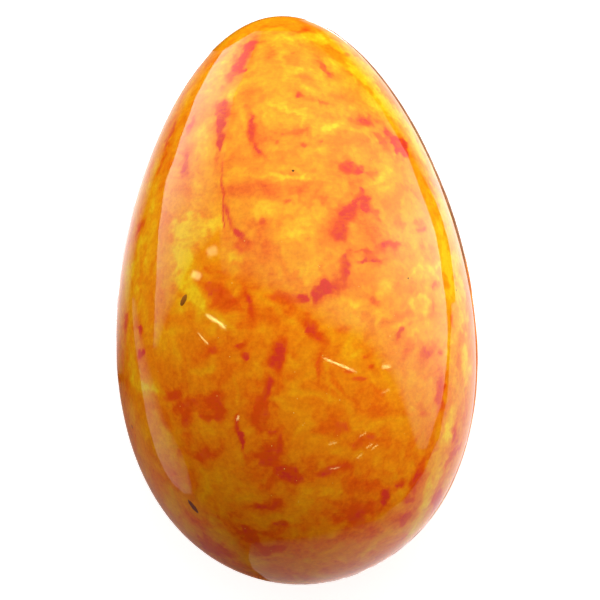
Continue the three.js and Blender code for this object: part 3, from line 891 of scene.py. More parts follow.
@dataclass(frozen=True)
class Marbling:
    """The pattern of the coat, kept on the shells as the vertex attributes tone and red."""

    view: View
    base_tone: float = 0.53
    drift: float = 0.0016
    drift_middle: float = 15.0
    rim_tone: float = 0.2
    rim_spread: float = 1.7
    rim_share: float = 0.5
    upper_sways: tuple = ((6 * MM, 1.2, 3.1), (2 * MM, 0.6, 9.4), (0.9 * MM, 0.35, 12.7))
    upper_edges: tuple = ((1.6 * MM, 0.5, 6.6), (4 * MM, 0.45, 2.6))
    lower_sways: tuple = ((6 * MM, 1.2 * MM, 5.2), (2 * MM, 0.6 * MM, 1.7))
    lower_edges: tuple = ((1.6 * MM, 0.5, 8.6), (4 * MM, 0.45, 4.6))
    seed: int = 11
    scattered: int = 230
    scattered_lengths: tuple[float, float] = (6, 20)
    scattered_widths: tuple[float, float] = (3, 9)
    scattered_covers: tuple[float, float] = (0.5, 1.0)
    scattered_turns: float = 0.5
    small_red: float = 0.6

    def paint_upper(self, mesh: bpy.types.Mesh) -> None:
        """Lays the dabs that the picture shows on the upper shell.

        Args:
            mesh: the upper shell, which gets the attributes.
        """
        places = places_of(mesh)
        spots = self.view.project(places) / MM + swayed(places, self.upper_sways)[:, :2]
        ragged = swayed(places, self.upper_edges)[:, 0]
        paint = self.primed(places)
        for dab in (Dab(pigment, *row) for pigment, rows in LAYERS for row in rows):
            if dab.pigment.value[1] > 0:
                rim = dab.weight(spots, ragged, self.rim_spread) * self.rim_share
                paint[:, 0] += (self.rim_tone - paint[:, 0]) * rim
            self.lay(paint, dab.pigment, dab.weight(spots, ragged))
        paint[:, 0] += self.drift * (self.view.project(places)[:, 1] / MM - self.drift_middle)
        self.keep(mesh, paint)

    def paint_scattered(self, mesh: bpy.types.Mesh) -> None:
        """Scatters dabs of the same kinds over a shell that the picture doesn't show.

        Args:
            mesh: the lower shell, which gets the attributes.
        """
        places = places_of(mesh)
        warped = places + swayed(places, self.lower_sways)
        ragged = swayed(places, self.lower_edges)[:, 0]
        middle = places.mean(axis=0)
        paint = self.primed(places)
        chance = np.random.default_rng(self.seed)
        kinds, shares = list(SCATTERED_SHARES), list(SCATTERED_SHARES.values())
        for _ in range(self.scattered):
            centre = places[chance.integers(len(places))]
            outward = (centre - middle) / np.linalg.norm(centre - middle)
            lengthways = np.cross(outward, [1.0, 0.0, 0.0]) + chance.normal(0, self.scattered_turns, 3)
            lengthways -= outward * (lengthways @ outward)
            lengthways /= np.linalg.norm(lengthways)
            sideways = np.cross(outward, lengthways)
            kind = kinds[chance.choice(len(kinds), p=shares)]
            size = (self.small_red if kind is RED else 1.0) * MM
            length = chance.uniform(*self.scattered_lengths) * size
            width = chance.uniform(*self.scattered_widths) * size
            offset = warped - centre
            far = np.sqrt(
                (offset @ lengthways / (length / 2)) ** 2
                + (offset @ sideways / (width / 2)) ** 2
                + (offset @ outward / width) ** 2
            )
            cover = chance.uniform(*self.scattered_covers)
            self.lay(paint, kind, covered(far + ragged, softness(width / MM)) * cover)
        self.keep(mesh, paint)

    def primed(self, places: np.ndarray) -> np.ndarray:
        """Returns the tone and the red of the bare coat at each place, as rows."""
        return np.tile([self.base_tone, 0.0], (len(places), 1))

    def lay(self, paint: np.ndarray, pigment: Pigment, weight: np.ndarray) -> None:
        """Lays a pigment over rows of tone and red, by its weight at each place."""
        paint += (np.array(pigment.value) - paint) * weight[:, None]

    def keep(self, mesh: bpy.types.Mesh, paint: np.ndarray) -> None:
        """Stores the rows of tone and red as a mesh's attributes."""
        keep_attribute(mesh, "tone", paint[:, 0])
        keep_attribute(mesh, "red", paint[:, 1])


@dataclass(frozen=True)
class Mottling:
    """Noise of one size in the coat, and its shares of the tone, the red's edge, the shade and the gloss."""

    size: float
    detail: float
    shift: float
    stirred: bool
    tone: float
    red: float = 0.0
    shade: float = 0.0
    gloss: float = 0.0


@dataclass(frozen=True)
class MarbledCoat:
    """The glossy coat of tinted cocoa butter: a ramp of tones with red dabs, all mottled at several sizes."""

    roughness: float = 0.045
    refraction: float = 1.5
    red_tint: Colour = (0.70, 0.035, 0.02, 1)
    tones: tuple[tuple[float, Colour], ...] = (
        (0.0, (0.80, 0.082, 0.004, 1)),
        (0.25, (0.87, 0.165, 0.004, 1)),
        (0.5, (0.90, 0.265, 0.005, 1)),
        (0.75, (0.92, 0.375, 0.006, 1)),
        (1.0, (0.93, 0.56, 0.012, 1)),
    )
    mottlings: tuple[Mottling, ...] = (
        Mottling(9 * MM, 5, 0.3, True, 0.15),
        Mottling(3.2 * MM, 4, 0.7, True, 0.13, 0.9, 0.05),
        Mottling(1.0 * MM, 3, 1.1, False, 0.1, 0.9, 0.08, 0.012),
        Mottling(0.45 * MM, 2, 1.9, False, 0.025, 0.3, 0.045),
    )
    swirls: tuple[tuple[float, float], ...] = ((13 * MM, 6 * MM), (4.5 * MM, 1.8 * MM))
    lobes: tuple[tuple[float, float], ...] = ((7 * MM, 0.15), (2.8 * MM, 0.13))
    streak_tone: float = 0.09
    streak_red: float = 0.6
    streak_width: float = 0.035
    streak_turn: tuple[float, float, float] = (0.3, 0.2, 0.35)
    streak_scale: tuple[float, float, float] = (9, 70, 40)
    brushed_areas: float = 12 * MM
    brushed_seed: float = 5.1
    brushed_from: float = -0.15
    brushed_to: float = 0.35
    faintest_streaks: float = 0.15
    ragged_red: float = 0.85
    ragged_rest: float = 0.2
    red_from: float = 0.2
    red_to: float = 1.06
    red_cover: float = 0.9
    ripples: tuple[tuple[float, ...], ...] = ((14 * MM, 1, 2.3, 0.9), (0.8 * MM, 2, 2.9, 0.006))
    ripple_depth: float = 0.06 * MM

    def build(self) -> bpy.types.Material:
        """Makes the material.

        Returns:
            The material.
        """
        material, net = new_material("marbled_coat")
        place = net.out(net.add("ShaderNodeTexCoord"), "Object")
        tone = net.out(net.add("ShaderNodeAttribute", attribute_name="tone"), "Fac")
        red = net.out(net.add("ShaderNodeAttribute", attribute_name="red"), "Fac")
        stirred = self.stirred(net, place)
        streaks = self.brushed(net, place)
        mottled, ragged = tone + streaks * self.streak_tone, streaks * self.streak_red
        for size, share in self.lobes:
            mottled = mottled + self.patches(net, stirred, size) * share
        shade, gloss = 1.0, self.roughness
        for layer in self.mottlings:
            grain = net.noise(stirred if layer.stirred else place, layer.size, layer.detail, layer.shift)
            mottled = grain * layer.tone + mottled
            ragged = grain * layer.red + ragged
            shade = grain * layer.shade + shade
            gloss = grain * layer.gloss + gloss
        edge = ragged * (red * self.ragged_red + self.ragged_rest)
        share = net.ease(red + edge, self.red_from, self.red_to) * self.red_cover
        shaded = net.vector("SCALE", net.mixed(share, self.toned(net, mottled), self.red_tint), shade)
        broad, fine = (net.noise(place, *ripple[:3]) * ripple[3] for ripple in self.ripples)
        bump_inputs = {"Height": broad + fine, "Strength": 1.0, "Distance": self.ripple_depth}
        bump = net.made("ShaderNodeBump", bump_inputs)
        inputs = {"Base Color": shaded, "Roughness": gloss, "Normal": bump, "IOR": self.refraction}
        net.add("ShaderNodeOutputMaterial", {0: net.made("ShaderNodeBsdfPrincipled", inputs)})
        return material

    def toned(self, net: Net, tone: Wire) -> Wire:
        """Turns a tone into its colour.

        Args:
            net: the tree's builder.
            tone: the tone, from 0 to 1.

        Returns:
            The colour.
        """
        ramp = net.add("ShaderNodeValToRGB", {0: tone})
        stops = ramp.color_ramp.elements
        while len(stops) < len(self.tones):
            stops.new(0.5)
        for stop, (position, tint) in zip(stops, self.tones):
            stop.position = position
            stop.color = tint
        return net.out(ramp)

    def stirred(self, net: Net, place: Wire) -> Wire:
        """Bends the coordinates as stirred cocoa butter flows.

        Args:
            net: the tree's builder.
            place: the plain coordinates.

        Returns:
            The bent coordinates.
        """
        for size, reach in self.swirls:
            inputs = {"Vector": place, "Scale": 1 / size, "Detail": 1.0}
            swirl = net.out(net.add("ShaderNodeTexNoise", inputs, noise_dimensions="3D"), "Color")
            middle = net.vector("SUBTRACT", swirl, (0.5, 0.5, 0.5))
            place = net.vector("ADD", place, net.vector("SCALE", middle, reach * 2))
        return place

    def patches(self, net: Net, place: Wire, size: float) -> Wire:
        """Gives each lobe of the coat a tone of its own.

        Args:
            net: the tree's builder.
            place: the bent coordinates.
            size: the size of the lobes, in metres.

        Returns:
            A value from -1 to 1.
        """
        inputs = {"Vector": place, "Scale": 1 / size, "Smoothness": 1.0}
        cells = net.add("ShaderNodeTexVoronoi", inputs, feature="SMOOTH_F1")
        return (net.split(net.out(cells, "Color"))[0] - 0.5) * 2.0

    def brushed(self, net: Net, place: Wire) -> Wire:
        """Makes the fine streaks that the brush leaves here and there.

        Args:
            net: the tree's builder.
            place: the plain coordinates.

        Returns:
            A value from about -1 to 1.
        """
        inputs = {"Vector": place, "Rotation": self.streak_turn, "Scale": self.streak_scale}
        turned = net.made("ShaderNodeMapping", inputs)
        areas = net.noise(place, self.brushed_areas, 1, self.brushed_seed)
        strong = net.ease(areas, self.brushed_from, self.brushed_to)
        strength = strong * (1 - self.faintest_streaks) + self.faintest_streaks
        return net.noise(turned, self.streak_width, 2, 0.0) * strength


@dataclass(frozen=True)
class PlainChocolate:
    """Bare chocolate between the halves and in the specks: satin, with a slight bloom."""

    name: str
    dark: Colour = (0.34, 0.15, 0.07, 1)
    bloom: Colour = (0.54, 0.27, 0.14, 1)
    roughness: float = 0.32
    gleam: float = 0.25
    refraction: float = 1.48
    cloud: tuple[float, float, float] = (3 * MM, 3, 0.4)
    grain: tuple[float, float, float] = (0.5 * MM, 2, 0.9)
    grain_share: float = 0.3
    grain_depth: float = 0.05 * MM
    grain_strength: float = 0.4
    bloom_from: float = -0.6
    bloom_to: float = 0.8
    cloud_dulling: float = 0.05

    def build(self) -> bpy.types.Material:
        """Makes the material.

        Returns:
            The material.
        """
        material, net = new_material(self.name)
        place = net.out(net.add("ShaderNodeTexCoord"), "Object")
        cloud, grain = net.noise(place, *self.cloud), net.noise(place, *self.grain)
        share = net.ease(cloud + grain * self.grain_share, self.bloom_from, self.bloom_to)
        pits = {"Height": grain, "Strength": self.grain_strength, "Distance": self.grain_depth}
        inputs = {
            "Base Color": net.mixed(share, self.dark, self.bloom),
            "Roughness": cloud * self.cloud_dulling + self.roughness,
            "Normal": net.made("ShaderNodeBump", pits),
            "IOR": self.refraction,
            "Specular IOR Level": self.gleam,
        }
        net.add("ShaderNodeOutputMaterial", {0: net.made("ShaderNodeBsdfPrincipled", inputs)})
        return material


class Side(Enum):
    """Which half of the egg a shell is."""

    UPPER = "upper"
    LOWER = "lower"


@dataclass(frozen=True)
class HalfShell:
    """One moulded half: an evenly divided dome with a rounded rim, closed by its joining face."""

    form: EggForm
    side: Side
    rim_radius: float = 0.3 * MM
    rim_steps: int = 3
    rim_wave: float = 0.2 * MM
    wave_size: float = 0.4
    wave_seed: float = 0.6
    wave_edge: float = 0.3
    cells_across: int = 236
    cells_along: int = 372
    slip: float = 0.45 * MM
    slip_turn_deg: float = -0.46
    rest_height: float = 0.02 * MM
    # A band this high above the lower shell's rim, from this share of the length towards the narrow end,
    # takes plain chocolate and looks dark.
    dark_rim_band: float = 0.9 * MM
    dark_band_from: float = 0.04
    dark_band_fade: float = 0.1
    joining_face: float = 0.006 * MM

    def tree(self) -> bpy.types.NodeTree:
        """Builds the Geometry Nodes tree that forms a half.

        Returns:
            The tree.
        """
        tree, net, given = form_tree("half_shell", {
            "Float": (
                "Length", "Half Width", "Taper", "Fullness",
                "Rim Radius", "Rim Wave", "Dark Rim Band", "Rest Height",
            ),
            "Int": ("Cells Across", "Cells Along"),
            "Vector": ("Turn", "Place"),
            "Material": ("Coat", "Bare"),
        })
        cells = {"Vertices X": given["Cells Across"], "Vertices Y": given["Cells Along"]}
        grid = net.made("GeometryNodeMeshGrid", {"Size X": 2.0, "Size Y": 2.0, **cells})
        closed = self.closed(net, self.moved(net, grid, self.domed(net, given)), given)
        smooth = net.made("GeometryNodeSetShadeSmooth", {"Geometry": self.material_set(net, closed, given)})
        turned = {"Geometry": smooth, "Rotation": given["Turn"], "Translation": given["Place"]}
        placed = net.made("GeometryNodeTransform", turned)
        x, y, z = net.position()
        resting = self.moved(net, placed, net.join(x, y, net.math("MAXIMUM", z, given["Rest Height"])))
        net.add("NodeGroupOutput", {0: net.made("GeometryNodeRealizeInstances", {0: resting})})
        return tree

    def moved(self, net: Net, geometry: Wire, place: Wire, chosen: Wire | None = None) -> Wire:
        """Sets the places of a geometry's points.

        Args:
            net: the tree's builder.
            geometry: the geometry.
            place: the new places.
            chosen: the points to move, or all.

        Returns:
            The moved geometry.
        """
        inputs = {"Geometry": geometry, "Position": place}
        if chosen is not None:
            inputs["Selection"] = chosen
        return net.made("GeometryNodeSetPosition", inputs)

    def domed(self, net: Net, given: dict[str, Wire]) -> Wire:
        """Maps the square grid evenly over the half ball and draws it out to the egg.

        Args:
            net: the tree's builder.
            given: the tree's inputs, by name.

        Returns:
            The places on the dome.
        """
        x, y, _ = net.position()
        sideways = net.math("GREATER_THAN", net.math("ABSOLUTE", x), net.math("ABSOLUTE", y))
        reach = y + sideways * (x - y)
        upright = net.math("SUBTRACT", math.pi / 2, x / y * (math.pi / 4))
        angle = upright + sideways * (y / x * (math.pi / 4) - upright)
        height = net.math("SUBTRACT", 1.0, reach * reach)
        spread = reach * net.math("SQRT", height + 1.0)
        ball_x = spread * net.math("COSINE", angle)
        ball_y = spread * net.math("SINE", angle)
        fuller = given["Fullness"] * ball_y * ball_y
        girth = net.math("SUBTRACT", 1.0, given["Taper"] * ball_y) + fuller
        width = given["Half Width"] * girth
        low = net.math("SUBTRACT", 1.0, height)
        lifted = given["Rim Radius"] * low
        waves = net.noise(net.join(ball_x, ball_y, 0.0), self.wave_size, 1, self.wave_seed)
        wave = net.ease(waves, -self.wave_edge, self.wave_edge)
        drawn = net.math("SUBTRACT", 1.0, wave * low * low * low * given["Rim Wave"] / width)
        along = ball_y * given["Length"] * 0.5
        return net.join(ball_x * width * drawn, along * drawn, height * width + lifted)

    def closed(self, net: Net, dome: Wire, given: dict[str, Wire]) -> Wire:
        """Rounds the rim and closes the half with its joining face.

        Args:
            net: the tree's builder.
            dome: the open dome.
            given: the tree's inputs, by name.

        Returns:
            The closed half.
        """
        radius = given["Rim Radius"]
        shape = dome
        for step in range(1, self.rim_steps + 2):
            faces = net.made("GeometryNodeInputMeshEdgeNeighbors")
            edge = net.made("FunctionNodeCompare", {2: faces, 3: 1}, data_type="INT", operation="EQUAL")
            inputs = {"Mesh": shape, "Selection": edge, "Offset Scale": 0.0}
            shape = net.made("GeometryNodeExtrudeMesh", inputs, mode="EDGES")
            x, y, _ = net.position()
            if step > self.rim_steps:
                shape = self.moved(net, shape, net.join(0.0, 0.0, 0.0), edge)
                inputs = {"Geometry": shape, "Selection": edge, "Distance": 1e-6}
                return net.made("GeometryNodeMergeByDistance", inputs)
            angle = math.pi / 2 * step / self.rim_steps
            earlier = math.pi / 2 * (step - 1) / self.rim_steps
            reach = net.math("SQRT", x * x + y * y)
            drawn = net.math("SUBTRACT", 1.0, radius * (math.cos(earlier) - math.cos(angle)) / reach)
            height = radius * (1 - math.sin(angle))
            shape = self.moved(net, shape, net.join(x * drawn, y * drawn, height), edge)
        return shape

    def material_set(self, net: Net, shape: Wire, given: dict[str, Wire]) -> Wire:
        """Gives the outside the coat, and the joining face and any dark band at the rim plain chocolate.

        Args:
            net: the tree's builder.
            shape: the closed half.
            given: the tree's inputs, by name.

        Returns:
            The half with its materials.
        """
        coated = net.made("GeometryNodeSetMaterial", {"Geometry": shape, "Material": given["Coat"]})
        # A band of the lower shell next to its rim, towards the narrow end, takes the plain chocolate too, so
        # the rim there looks dark.
        _, along, height = net.position()
        showing = net.ease(along / given["Length"], self.dark_band_from, self.dark_band_from + self.dark_band_fade)
        joining = net.math("LESS_THAN", height, given["Dark Rim Band"] * showing + self.joining_face)
        inputs = {"Geometry": coated, "Selection": joining, "Material": given["Bare"]}
        return net.made("GeometryNodeSetMaterial", inputs)

    def build(self, coat: bpy.types.Material, bare: bpy.types.Material) -> bpy.types.Object:
        """Makes the half and sets it in its place.

        Args:
            coat: the outside's material.
            bare: the material of the joining face and of any dark band at the rim.

        Returns:
            The piece.
        """
        gap = self.form.join_gap / 2
        upper = self.side is Side.UPPER
        turn = (0.0, 0.0, 0.0) if upper else (0.0, math.pi, math.radians(self.slip_turn_deg))
        offset = Vector((0, 0, gap)) if upper else Vector((self.slip, 0, -gap))
        values = {
            "Length": self.form.length - 2 * self.form.skin,
            "Half Width": self.form.half_width() - self.form.skin,
            "Taper": self.form.taper,
            "Fullness": self.form.fullness,
            "Rim Radius": self.rim_radius,
            "Rim Wave": 0.0 if upper else self.rim_wave,
            "Dark Rim Band": 0.0 if upper else self.dark_rim_band,
            "Rest Height": self.rest_height,
            "Cells Across": self.cells_across,
            "Cells Along": self.cells_along,
            "Turn": turn,
            "Place": tuple(self.form.centre + offset),
            "Coat": coat,
            "Bare": bare,
        }
        name = "egg_upper_shell" if upper else "egg_lower_shell"
        return applied(name, bpy.data.meshes.new(name + "_base"), self.tree(), values)


@dataclass(frozen=True)
class JoinBead:
    """The line of chocolate that joins the halves, a little behind their rims."""

    form: EggForm
    radius: float = 0.42 * MM
    setback: float = 0.8 * MM
    points: int = 420
    section_points: int = 10
    waviness: float = 0.08 * MM
    wave_size: float = 0.12
    wave_seed: float = 4.0

    def tree(self) -> bpy.types.NodeTree:
        """Builds the Geometry Nodes tree that runs the bead along the egg's outline.

        Returns:
            The tree.
        """
        tree, net, given = form_tree("join_bead", {
            "Float": ("Length", "Half Width", "Taper", "Fullness", "Bead Radius", "Waviness"),
            "Int": ("Points",),
            "Vector": ("Place",),
            "Material": ("Material",),
        })
        ring = net.made("GeometryNodeCurvePrimitiveCircle", {"Resolution": given["Points"], "Radius": 1.0})
        here = net.made("GeometryNodeInputPosition")
        x, y, _ = net.split(here)
        girth = net.math("SUBTRACT", 1.0, given["Taper"] * y) + given["Fullness"] * y * y
        wave = net.noise(here, self.wave_size, 1, self.wave_seed) * given["Waviness"]
        width = given["Half Width"] + wave
        length = given["Length"] * 0.5 + wave
        place = net.join(x * girth * width, y * length, 0.0)
        outline = net.made("GeometryNodeSetPosition", {"Geometry": ring, "Position": place})
        section_inputs = {"Resolution": self.section_points, "Radius": given["Bead Radius"]}
        section = net.made("GeometryNodeCurvePrimitiveCircle", section_inputs)
        bead = net.made("GeometryNodeCurveToMesh", {"Curve": outline, "Profile Curve": section})
        moved = net.made("GeometryNodeTransform", {"Geometry": bead, "Translation": given["Place"]})
        end_tree(net, moved, given["Material"])
        return tree

    def build(self, material: bpy.types.Material) -> bpy.types.Object:
        """Makes the bead.

        Args:
            material: the chocolate.

        Returns:
            The piece.
        """
        inset = self.setback + self.radius
        values = {
            "Length": self.form.length - 2 * inset,
            "Half Width": self.form.half_width() - inset,
            "Taper": self.form.taper,
            "Fullness": self.form.fullness,
            "Bead Radius": self.radius,
            "Waviness": self.waviness,
            "Points": self.points,
            "Place": tuple(self.form.centre),
            "Material": material,
        }
        return applied("egg_join", bpy.data.meshes.new("egg_join_base"), self.tree(), values)


@dataclass(frozen=True)
class Speck:
    """A small fleck on the coat, in millimetres and degrees of the picture."""

    across: float
    along: float
    length: float
    width: float
    turn: float = 0.0


@dataclass(frozen=True)
class Specks:
    """Small flecks that lie flat on the upper half."""

    view: View
    name: str
    specks: tuple[Speck, ...]
    height: float = 0.16 * MM
    sunk: float = 0.3
    roundness: int = 2

    def tree(self) -> bpy.types.NodeTree:
        """Builds the Geometry Nodes tree that sets a flat bead on each point.

        Returns:
            The tree.
        """
        tree, net, given = form_tree(self.name, {"Int": ("Roundness",), "Material": ("Material",)})
        bead = net.made("GeometryNodeMeshIcoSphere", {"Radius": 1.0, "Subdivisions": given["Roundness"]})
        turn = net.made("GeometryNodeInputNamedAttribute", {0: "lie"}, data_type="FLOAT_VECTOR")
        size = net.made("GeometryNodeInputNamedAttribute", {0: "extent"}, data_type="FLOAT_VECTOR")
        lie = net.made("FunctionNodeEulerToRotation", {0: turn})
        inputs = {"Points": given["Geometry"], "Instance": bead, "Rotation": lie, "Scale": size}
        end_tree(net, net.made("GeometryNodeInstanceOnPoints", inputs), given["Material"])
        return tree

    def build(self, material: bpy.types.Material) -> bpy.types.Object:
        """Makes the flecks as one piece.

        Args:
            material: their finish.

        Returns:
            The piece.
        """
        form = self.view.form
        picture = np.array([(speck.across, speck.along) for speck in self.specks]) * MM
        places, _ = self.view.meet(picture)
        normals = form.normals(places)
        right, up, _ = self.view.axes()
        lies, extents = [], []
        for speck, normal in zip(self.specks, normals):
            turn = math.radians(speck.turn)
            along = right * math.cos(turn) + up * math.sin(turn)
            along -= normal * (along @ normal)
            along /= np.linalg.norm(along)
            sideways = np.cross(normal, along)
            lie = Matrix([list(along), list(sideways), list(normal)]).transposed().to_euler()
            lies.append(tuple(lie))
            extents.append((speck.length / 2 * MM, speck.width / 2 * MM, self.height))
        base = bpy.data.meshes.new(self.name + "_base")
        depth = form.skin + self.height * self.sunk
        base.from_pydata([tuple(place) for place in places - normals * depth], [], [])
        for label, rows in (("lie", lies), ("extent", extents)):
            attribute = base.attributes.new(label, "FLOAT_VECTOR", "POINT")
            attribute.data.foreach_set("vector", np.array(rows, np.float32).ravel())
        return applied(self.name, base, self.tree(), {"Roundness": self.roundness, "Material": material})


def bubbles(count: int = 48, seed: int = 5) -> tuple[Speck, ...]:
    """Scatters pin-point bubbles, most of them towards the blunt end and the right.

    Args:
        count: how many.
        seed: the seed of their places.

    Returns:
        The bubbles.
    """
    chance = np.random.default_rng(seed)
    middle, spread, sizes, reach = (8, -26), (22, 26), (0.16, 0.34), (43, 68)
    found = [Speck(-11.8, -67.5, 0.4, 0.4), Speck(-6.0, -66.4, 0.4, 0.4), Speck(-12.9, -60.6, 0.4, 0.4)]
    while len(found) < count:
        across, along = chance.normal(middle, spread)
        size = chance.uniform(*sizes)
        if math.hypot(across / reach[0], along / reach[1]) < 1:
            found.append(Speck(across, along, size, size))
    return tuple(found)


# Cards, line by line as their reflections lie on the egg. A row has the line's place along, then a place
# across and a glow for each stop. Places are in millimetres of the picture.
MAIN_CARD = (
    (71.1, -8.4, 0.15, -5.0, 0.2, -2.8, 0.2, -1.0, 0.15, 1.6, 0.0),
    (63.2, -11.5, 0.5, -3.6, 0.55, 1.6, 0.6, 5.6, 0.55, 11.6, 0.1),
    (57.9, -14.2, 0.6, -3.6, 0.65, 4.3, 0.75, 10.1, 0.6, 16.9, 0.1),
    (51.3, -16.5, 0.6, -3.6, 0.75, 5.6, 0.9, 13.5, 0.8, 22.7, 0.15),
    (43.4, -17.9, 0.6, -2.3, 0.8, 9.5, 1.05, 18.0, 1.1, 27.4, 0.9),
    (38.1, -18.6, 0.55, -1.0, 0.8, 13.5, 1.1, 22.2, 1.3, 30.3, 1.3),
    (34.2, -18.9, 0.5, -1.0, 0.8, 14.8, 1.05, 24.0, 1.3, 31.7, 1.5),
    (25.0, -19.3, 0.45, -1.0, 0.75, 17.4, 1.05, 25.3, 1.7, 35.2, 2.3),
    (17.1, -19.4, 0.4, -1.0, 0.7, 20.1, 1.1, 28.0, 2.5, 37.6, 2.9),
    (11.8, -19.6, 0.35, -1.0, 0.75, 20.1, 1.1, 28.0, 2.3, 38.6, 2.7),
    (7.3, -18.9, 0.2, -6.3, 0.6, 20.1, 1.1, 28.5, 2.0, 39.3, 2.7),
    (5.2, -17.3, 0.0, -5.0, 0.6, 20.1, 1.1, 28.5, 1.95, 39.6, 2.6),
    (3.1, -10.0, 0.0, 1.6, 0.65, 21.4, 1.05, 29.0, 1.85, 39.9, 2.5),
    (1.5, -4.7, 0.0, 6.4, 0.7, 22.2, 1.0, 29.0, 1.75, 40.1, 2.5),
    (-1.6, 0.6, 0.0, 9.5, 0.8, 22.7, 0.95, 29.0, 1.7, 40.4, 2.3),
    (-5.3, 5.3, 0.0, 14.8, 0.9, 25.3, 1.05, 30.6, 1.7, 40.5, 2.3),
    (-9.5, 15.3, 0.0, 22.2, 0.8, 26.9, 1.15, 32.7, 1.8, 40.7, 2.3),
    (-14.5, 21.1, 0.0, 24.8, 0.9, 28.0, 1.25, 33.5, 1.6, 40.6, 2.0),
    (-18.5, 24.5, 0.0, 27.2, 1.0, 30.1, 1.25, 34.0, 1.4, 40.2, 1.8),
    (-27.7, 28.8, 0.0, 30.6, 0.9, 32.5, 1.0, 35.1, 1.1, 39.0, 1.2),
    (-40.1, 32.2, 0.0, 33.0, 0.5, 33.5, 0.5, 34.0, 0.5, 34.8, 0.5),
)
WINDOW_CARD = (
    (71.1, -10.2, 0.6, -9.4, 0.5, -8.4, 0.3),
    (68.4, -14.7, 1.5, -12.1, 0.9, -9.4, 0.5),
    (65.8, -18.9, 2.2, -14.2, 1.5, -10.7, 0.7),
    (60.0, -22.6, 2.7, -17.3, 2.3, -13.1, 1.2),
    (53.4, -26.0, 3.1, -20.5, 2.9, -16.0, 1.3),
    (42.1, -30.0, 3.4, -24.7, 2.2, -18.1, 0.7),
    (31.0, -33.9, 2.8, -27.9, 2.0, -18.9, 0.45),
    (22.3, -35.2, 2.3, -30.0, 1.2, -19.4, 0.35),
    (18.4, -35.8, 2.1, -31.0, 1.1, -19.4, 0.25),
    (13.1, -36.0, 1.9, -31.6, 1.0, -24.7, 0.1),
    (6.0, -36.3, 1.6, -32.6, 0.9, -29.4, 0.1),
    (-0.8, -36.6, 1.2, -34.5, 0.8, -32.1, 0.1),
    (-8.5, -36.8, 0.9, -36.0, 0.6, -34.7, 0.1),
    (-13.2, -37.1, 0.4, -36.6, 0.3, -35.8, 0.0),
)
CRESCENT_CARD = (
    (-0.1, -42.9, 0.35, -42.4, 0.3, -41.6, 0.0),
    (-10.6, -42.1, 0.45, -41.0, 0.4, -39.5, 0.0),
    (-21.1, -40.5, 0.6, -38.9, 0.5, -36.8, 0.0),
    (-31.7, -38.9, 0.7, -36.6, 0.6, -33.9, 0.0),
    (-40.9, -36.3, 0.7, -33.4, 0.65, -29.4, 0.15),
    (-44.8, -34.5, 0.7, -31.3, 0.65, -28.1, 0.3),
    (-48.8, -32.1, 0.65, -29.4, 0.6, -27.1, 0.4),
    (-51.7, -28.9, 0.5, -27.9, 0.5, -26.8, 0.4),
)
LEFT_FRINGE = (
    (65.8, -23.4, 1.2, -21.0, 0.2, -18.9, 0.0),
    (59.2, -28.4, 1.3, -25.8, 0.4, -23.9, 0.0),
    (52.9, -32.3, 1.4, -29.7, 0.5, -27.6, 0.0),
    (46.6, -35.2, 1.6, -32.9, 0.6, -30.8, 0.0),
    (40.2, -38.1, 1.8, -35.8, 0.7, -33.7, 0.0),
    (33.9, -40.5, 1.9, -38.1, 0.8, -36.3, 0.0),
    (27.6, -42.4, 1.9, -40.0, 0.8, -38.1, 0.0),
    (21.3, -44.2, 1.8, -41.8, 0.8, -40.0, 0.0),
    (15.0, -45.5, 1.7, -43.1, 0.8, -41.3, 0.0),
    (8.6, -46.6, 1.6, -44.2, 0.7, -42.4, 0.0),
    (2.3, -47.4, 1.5, -45.0, 0.6, -43.1, 0.0),
    (-4.0, -47.6, 1.2, -45.5, 0.4, -43.7, 0.0),
    (-11.9, -47.6, 0.7, -46.0, 0.2, -44.2, 0.0),
    (-19.8, -47.4, 0.1, -46.0, 0.05, -44.7, 0.0),
)
RIGHT_FRINGE = (
    (74.2, 0.6, 0.0, 3.0, 0.7, 4.8, 0.7),
    (71.1, 7.4, 0.0, 9.8, 0.7, 11.6, 0.8),
    (67.1, 11.4, 0.0, 14.0, 0.7, 16.1, 0.8),
    (63.2, 14.8, 0.0, 17.4, 0.7, 19.8, 0.8),
    (59.2, 18.0, 0.0, 20.6, 0.7, 23.0, 0.9),
    (52.6, 22.4, 0.0, 25.6, 0.8, 28.0, 1.0),
    (44.7, 27.7, 0.0, 30.6, 0.95, 33.2, 1.1),
    (35.5, 32.7, 0.1, 35.3, 1.05, 37.7, 1.2),
    (31.6, 34.8, 0.3, 36.7, 1.3, 39.3, 1.4),
    (26.3, 37.5, 1.0, 38.8, 1.4, 41.4, 1.3),
    (21.0, 39.4, 1.6, 40.6, 1.4, 43.3, 1.2),
    (15.8, 40.9, 1.6, 41.9, 1.4, 44.8, 1.2),
    (7.8, 42.1, 1.4, 43.3, 1.3, 46.4, 1.1),
    (-0.1, 42.7, 1.1, 44.3, 1.1, 48.0, 1.0),
    (-1.1, 41.7, 1.0, 44.0, 1.1, 48.0, 1.0),
    (-13.7, 41.4, 0.8, 44.6, 0.9, 49.0, 0.9),
    (-26.4, 40.5, 0.9, 43.8, 0.9, 48.8, 0.9),
    (-36.9, 38.5, 0.7, 41.7, 0.8, 46.4, 0.9),
    (-44.8, 34.6, 0.45, 38.5, 0.7, 43.8, 0.9),
    (-52.7, 29.3, 0.3, 33.8, 0.6, 40.1, 0.9),
    (-58.0, 22.7, 0.15, 29.3, 0.5, 37.2, 0.9),
    (-62.0, 6.9, 0.0, 18.8, 0.35, 33.5, 0.9),
    (-64.6, -11.5, 0.1, 9.5, 0.35, 30.9, 0.9),
    (-68.5, -12.3, 0.3, 6.9, 0.4, 26.9, 0.9),
    (-71.2, -11.0, 0.3, 5.6, 0.4, 23.0, 0.9),
    (-73.8, -7.6, 0.3, 3.7, 0.4, 14.8, 0.8),
    (-75.4, -4.2, 0.3, 3.0, 0.4, 10.9, 0.7),
)
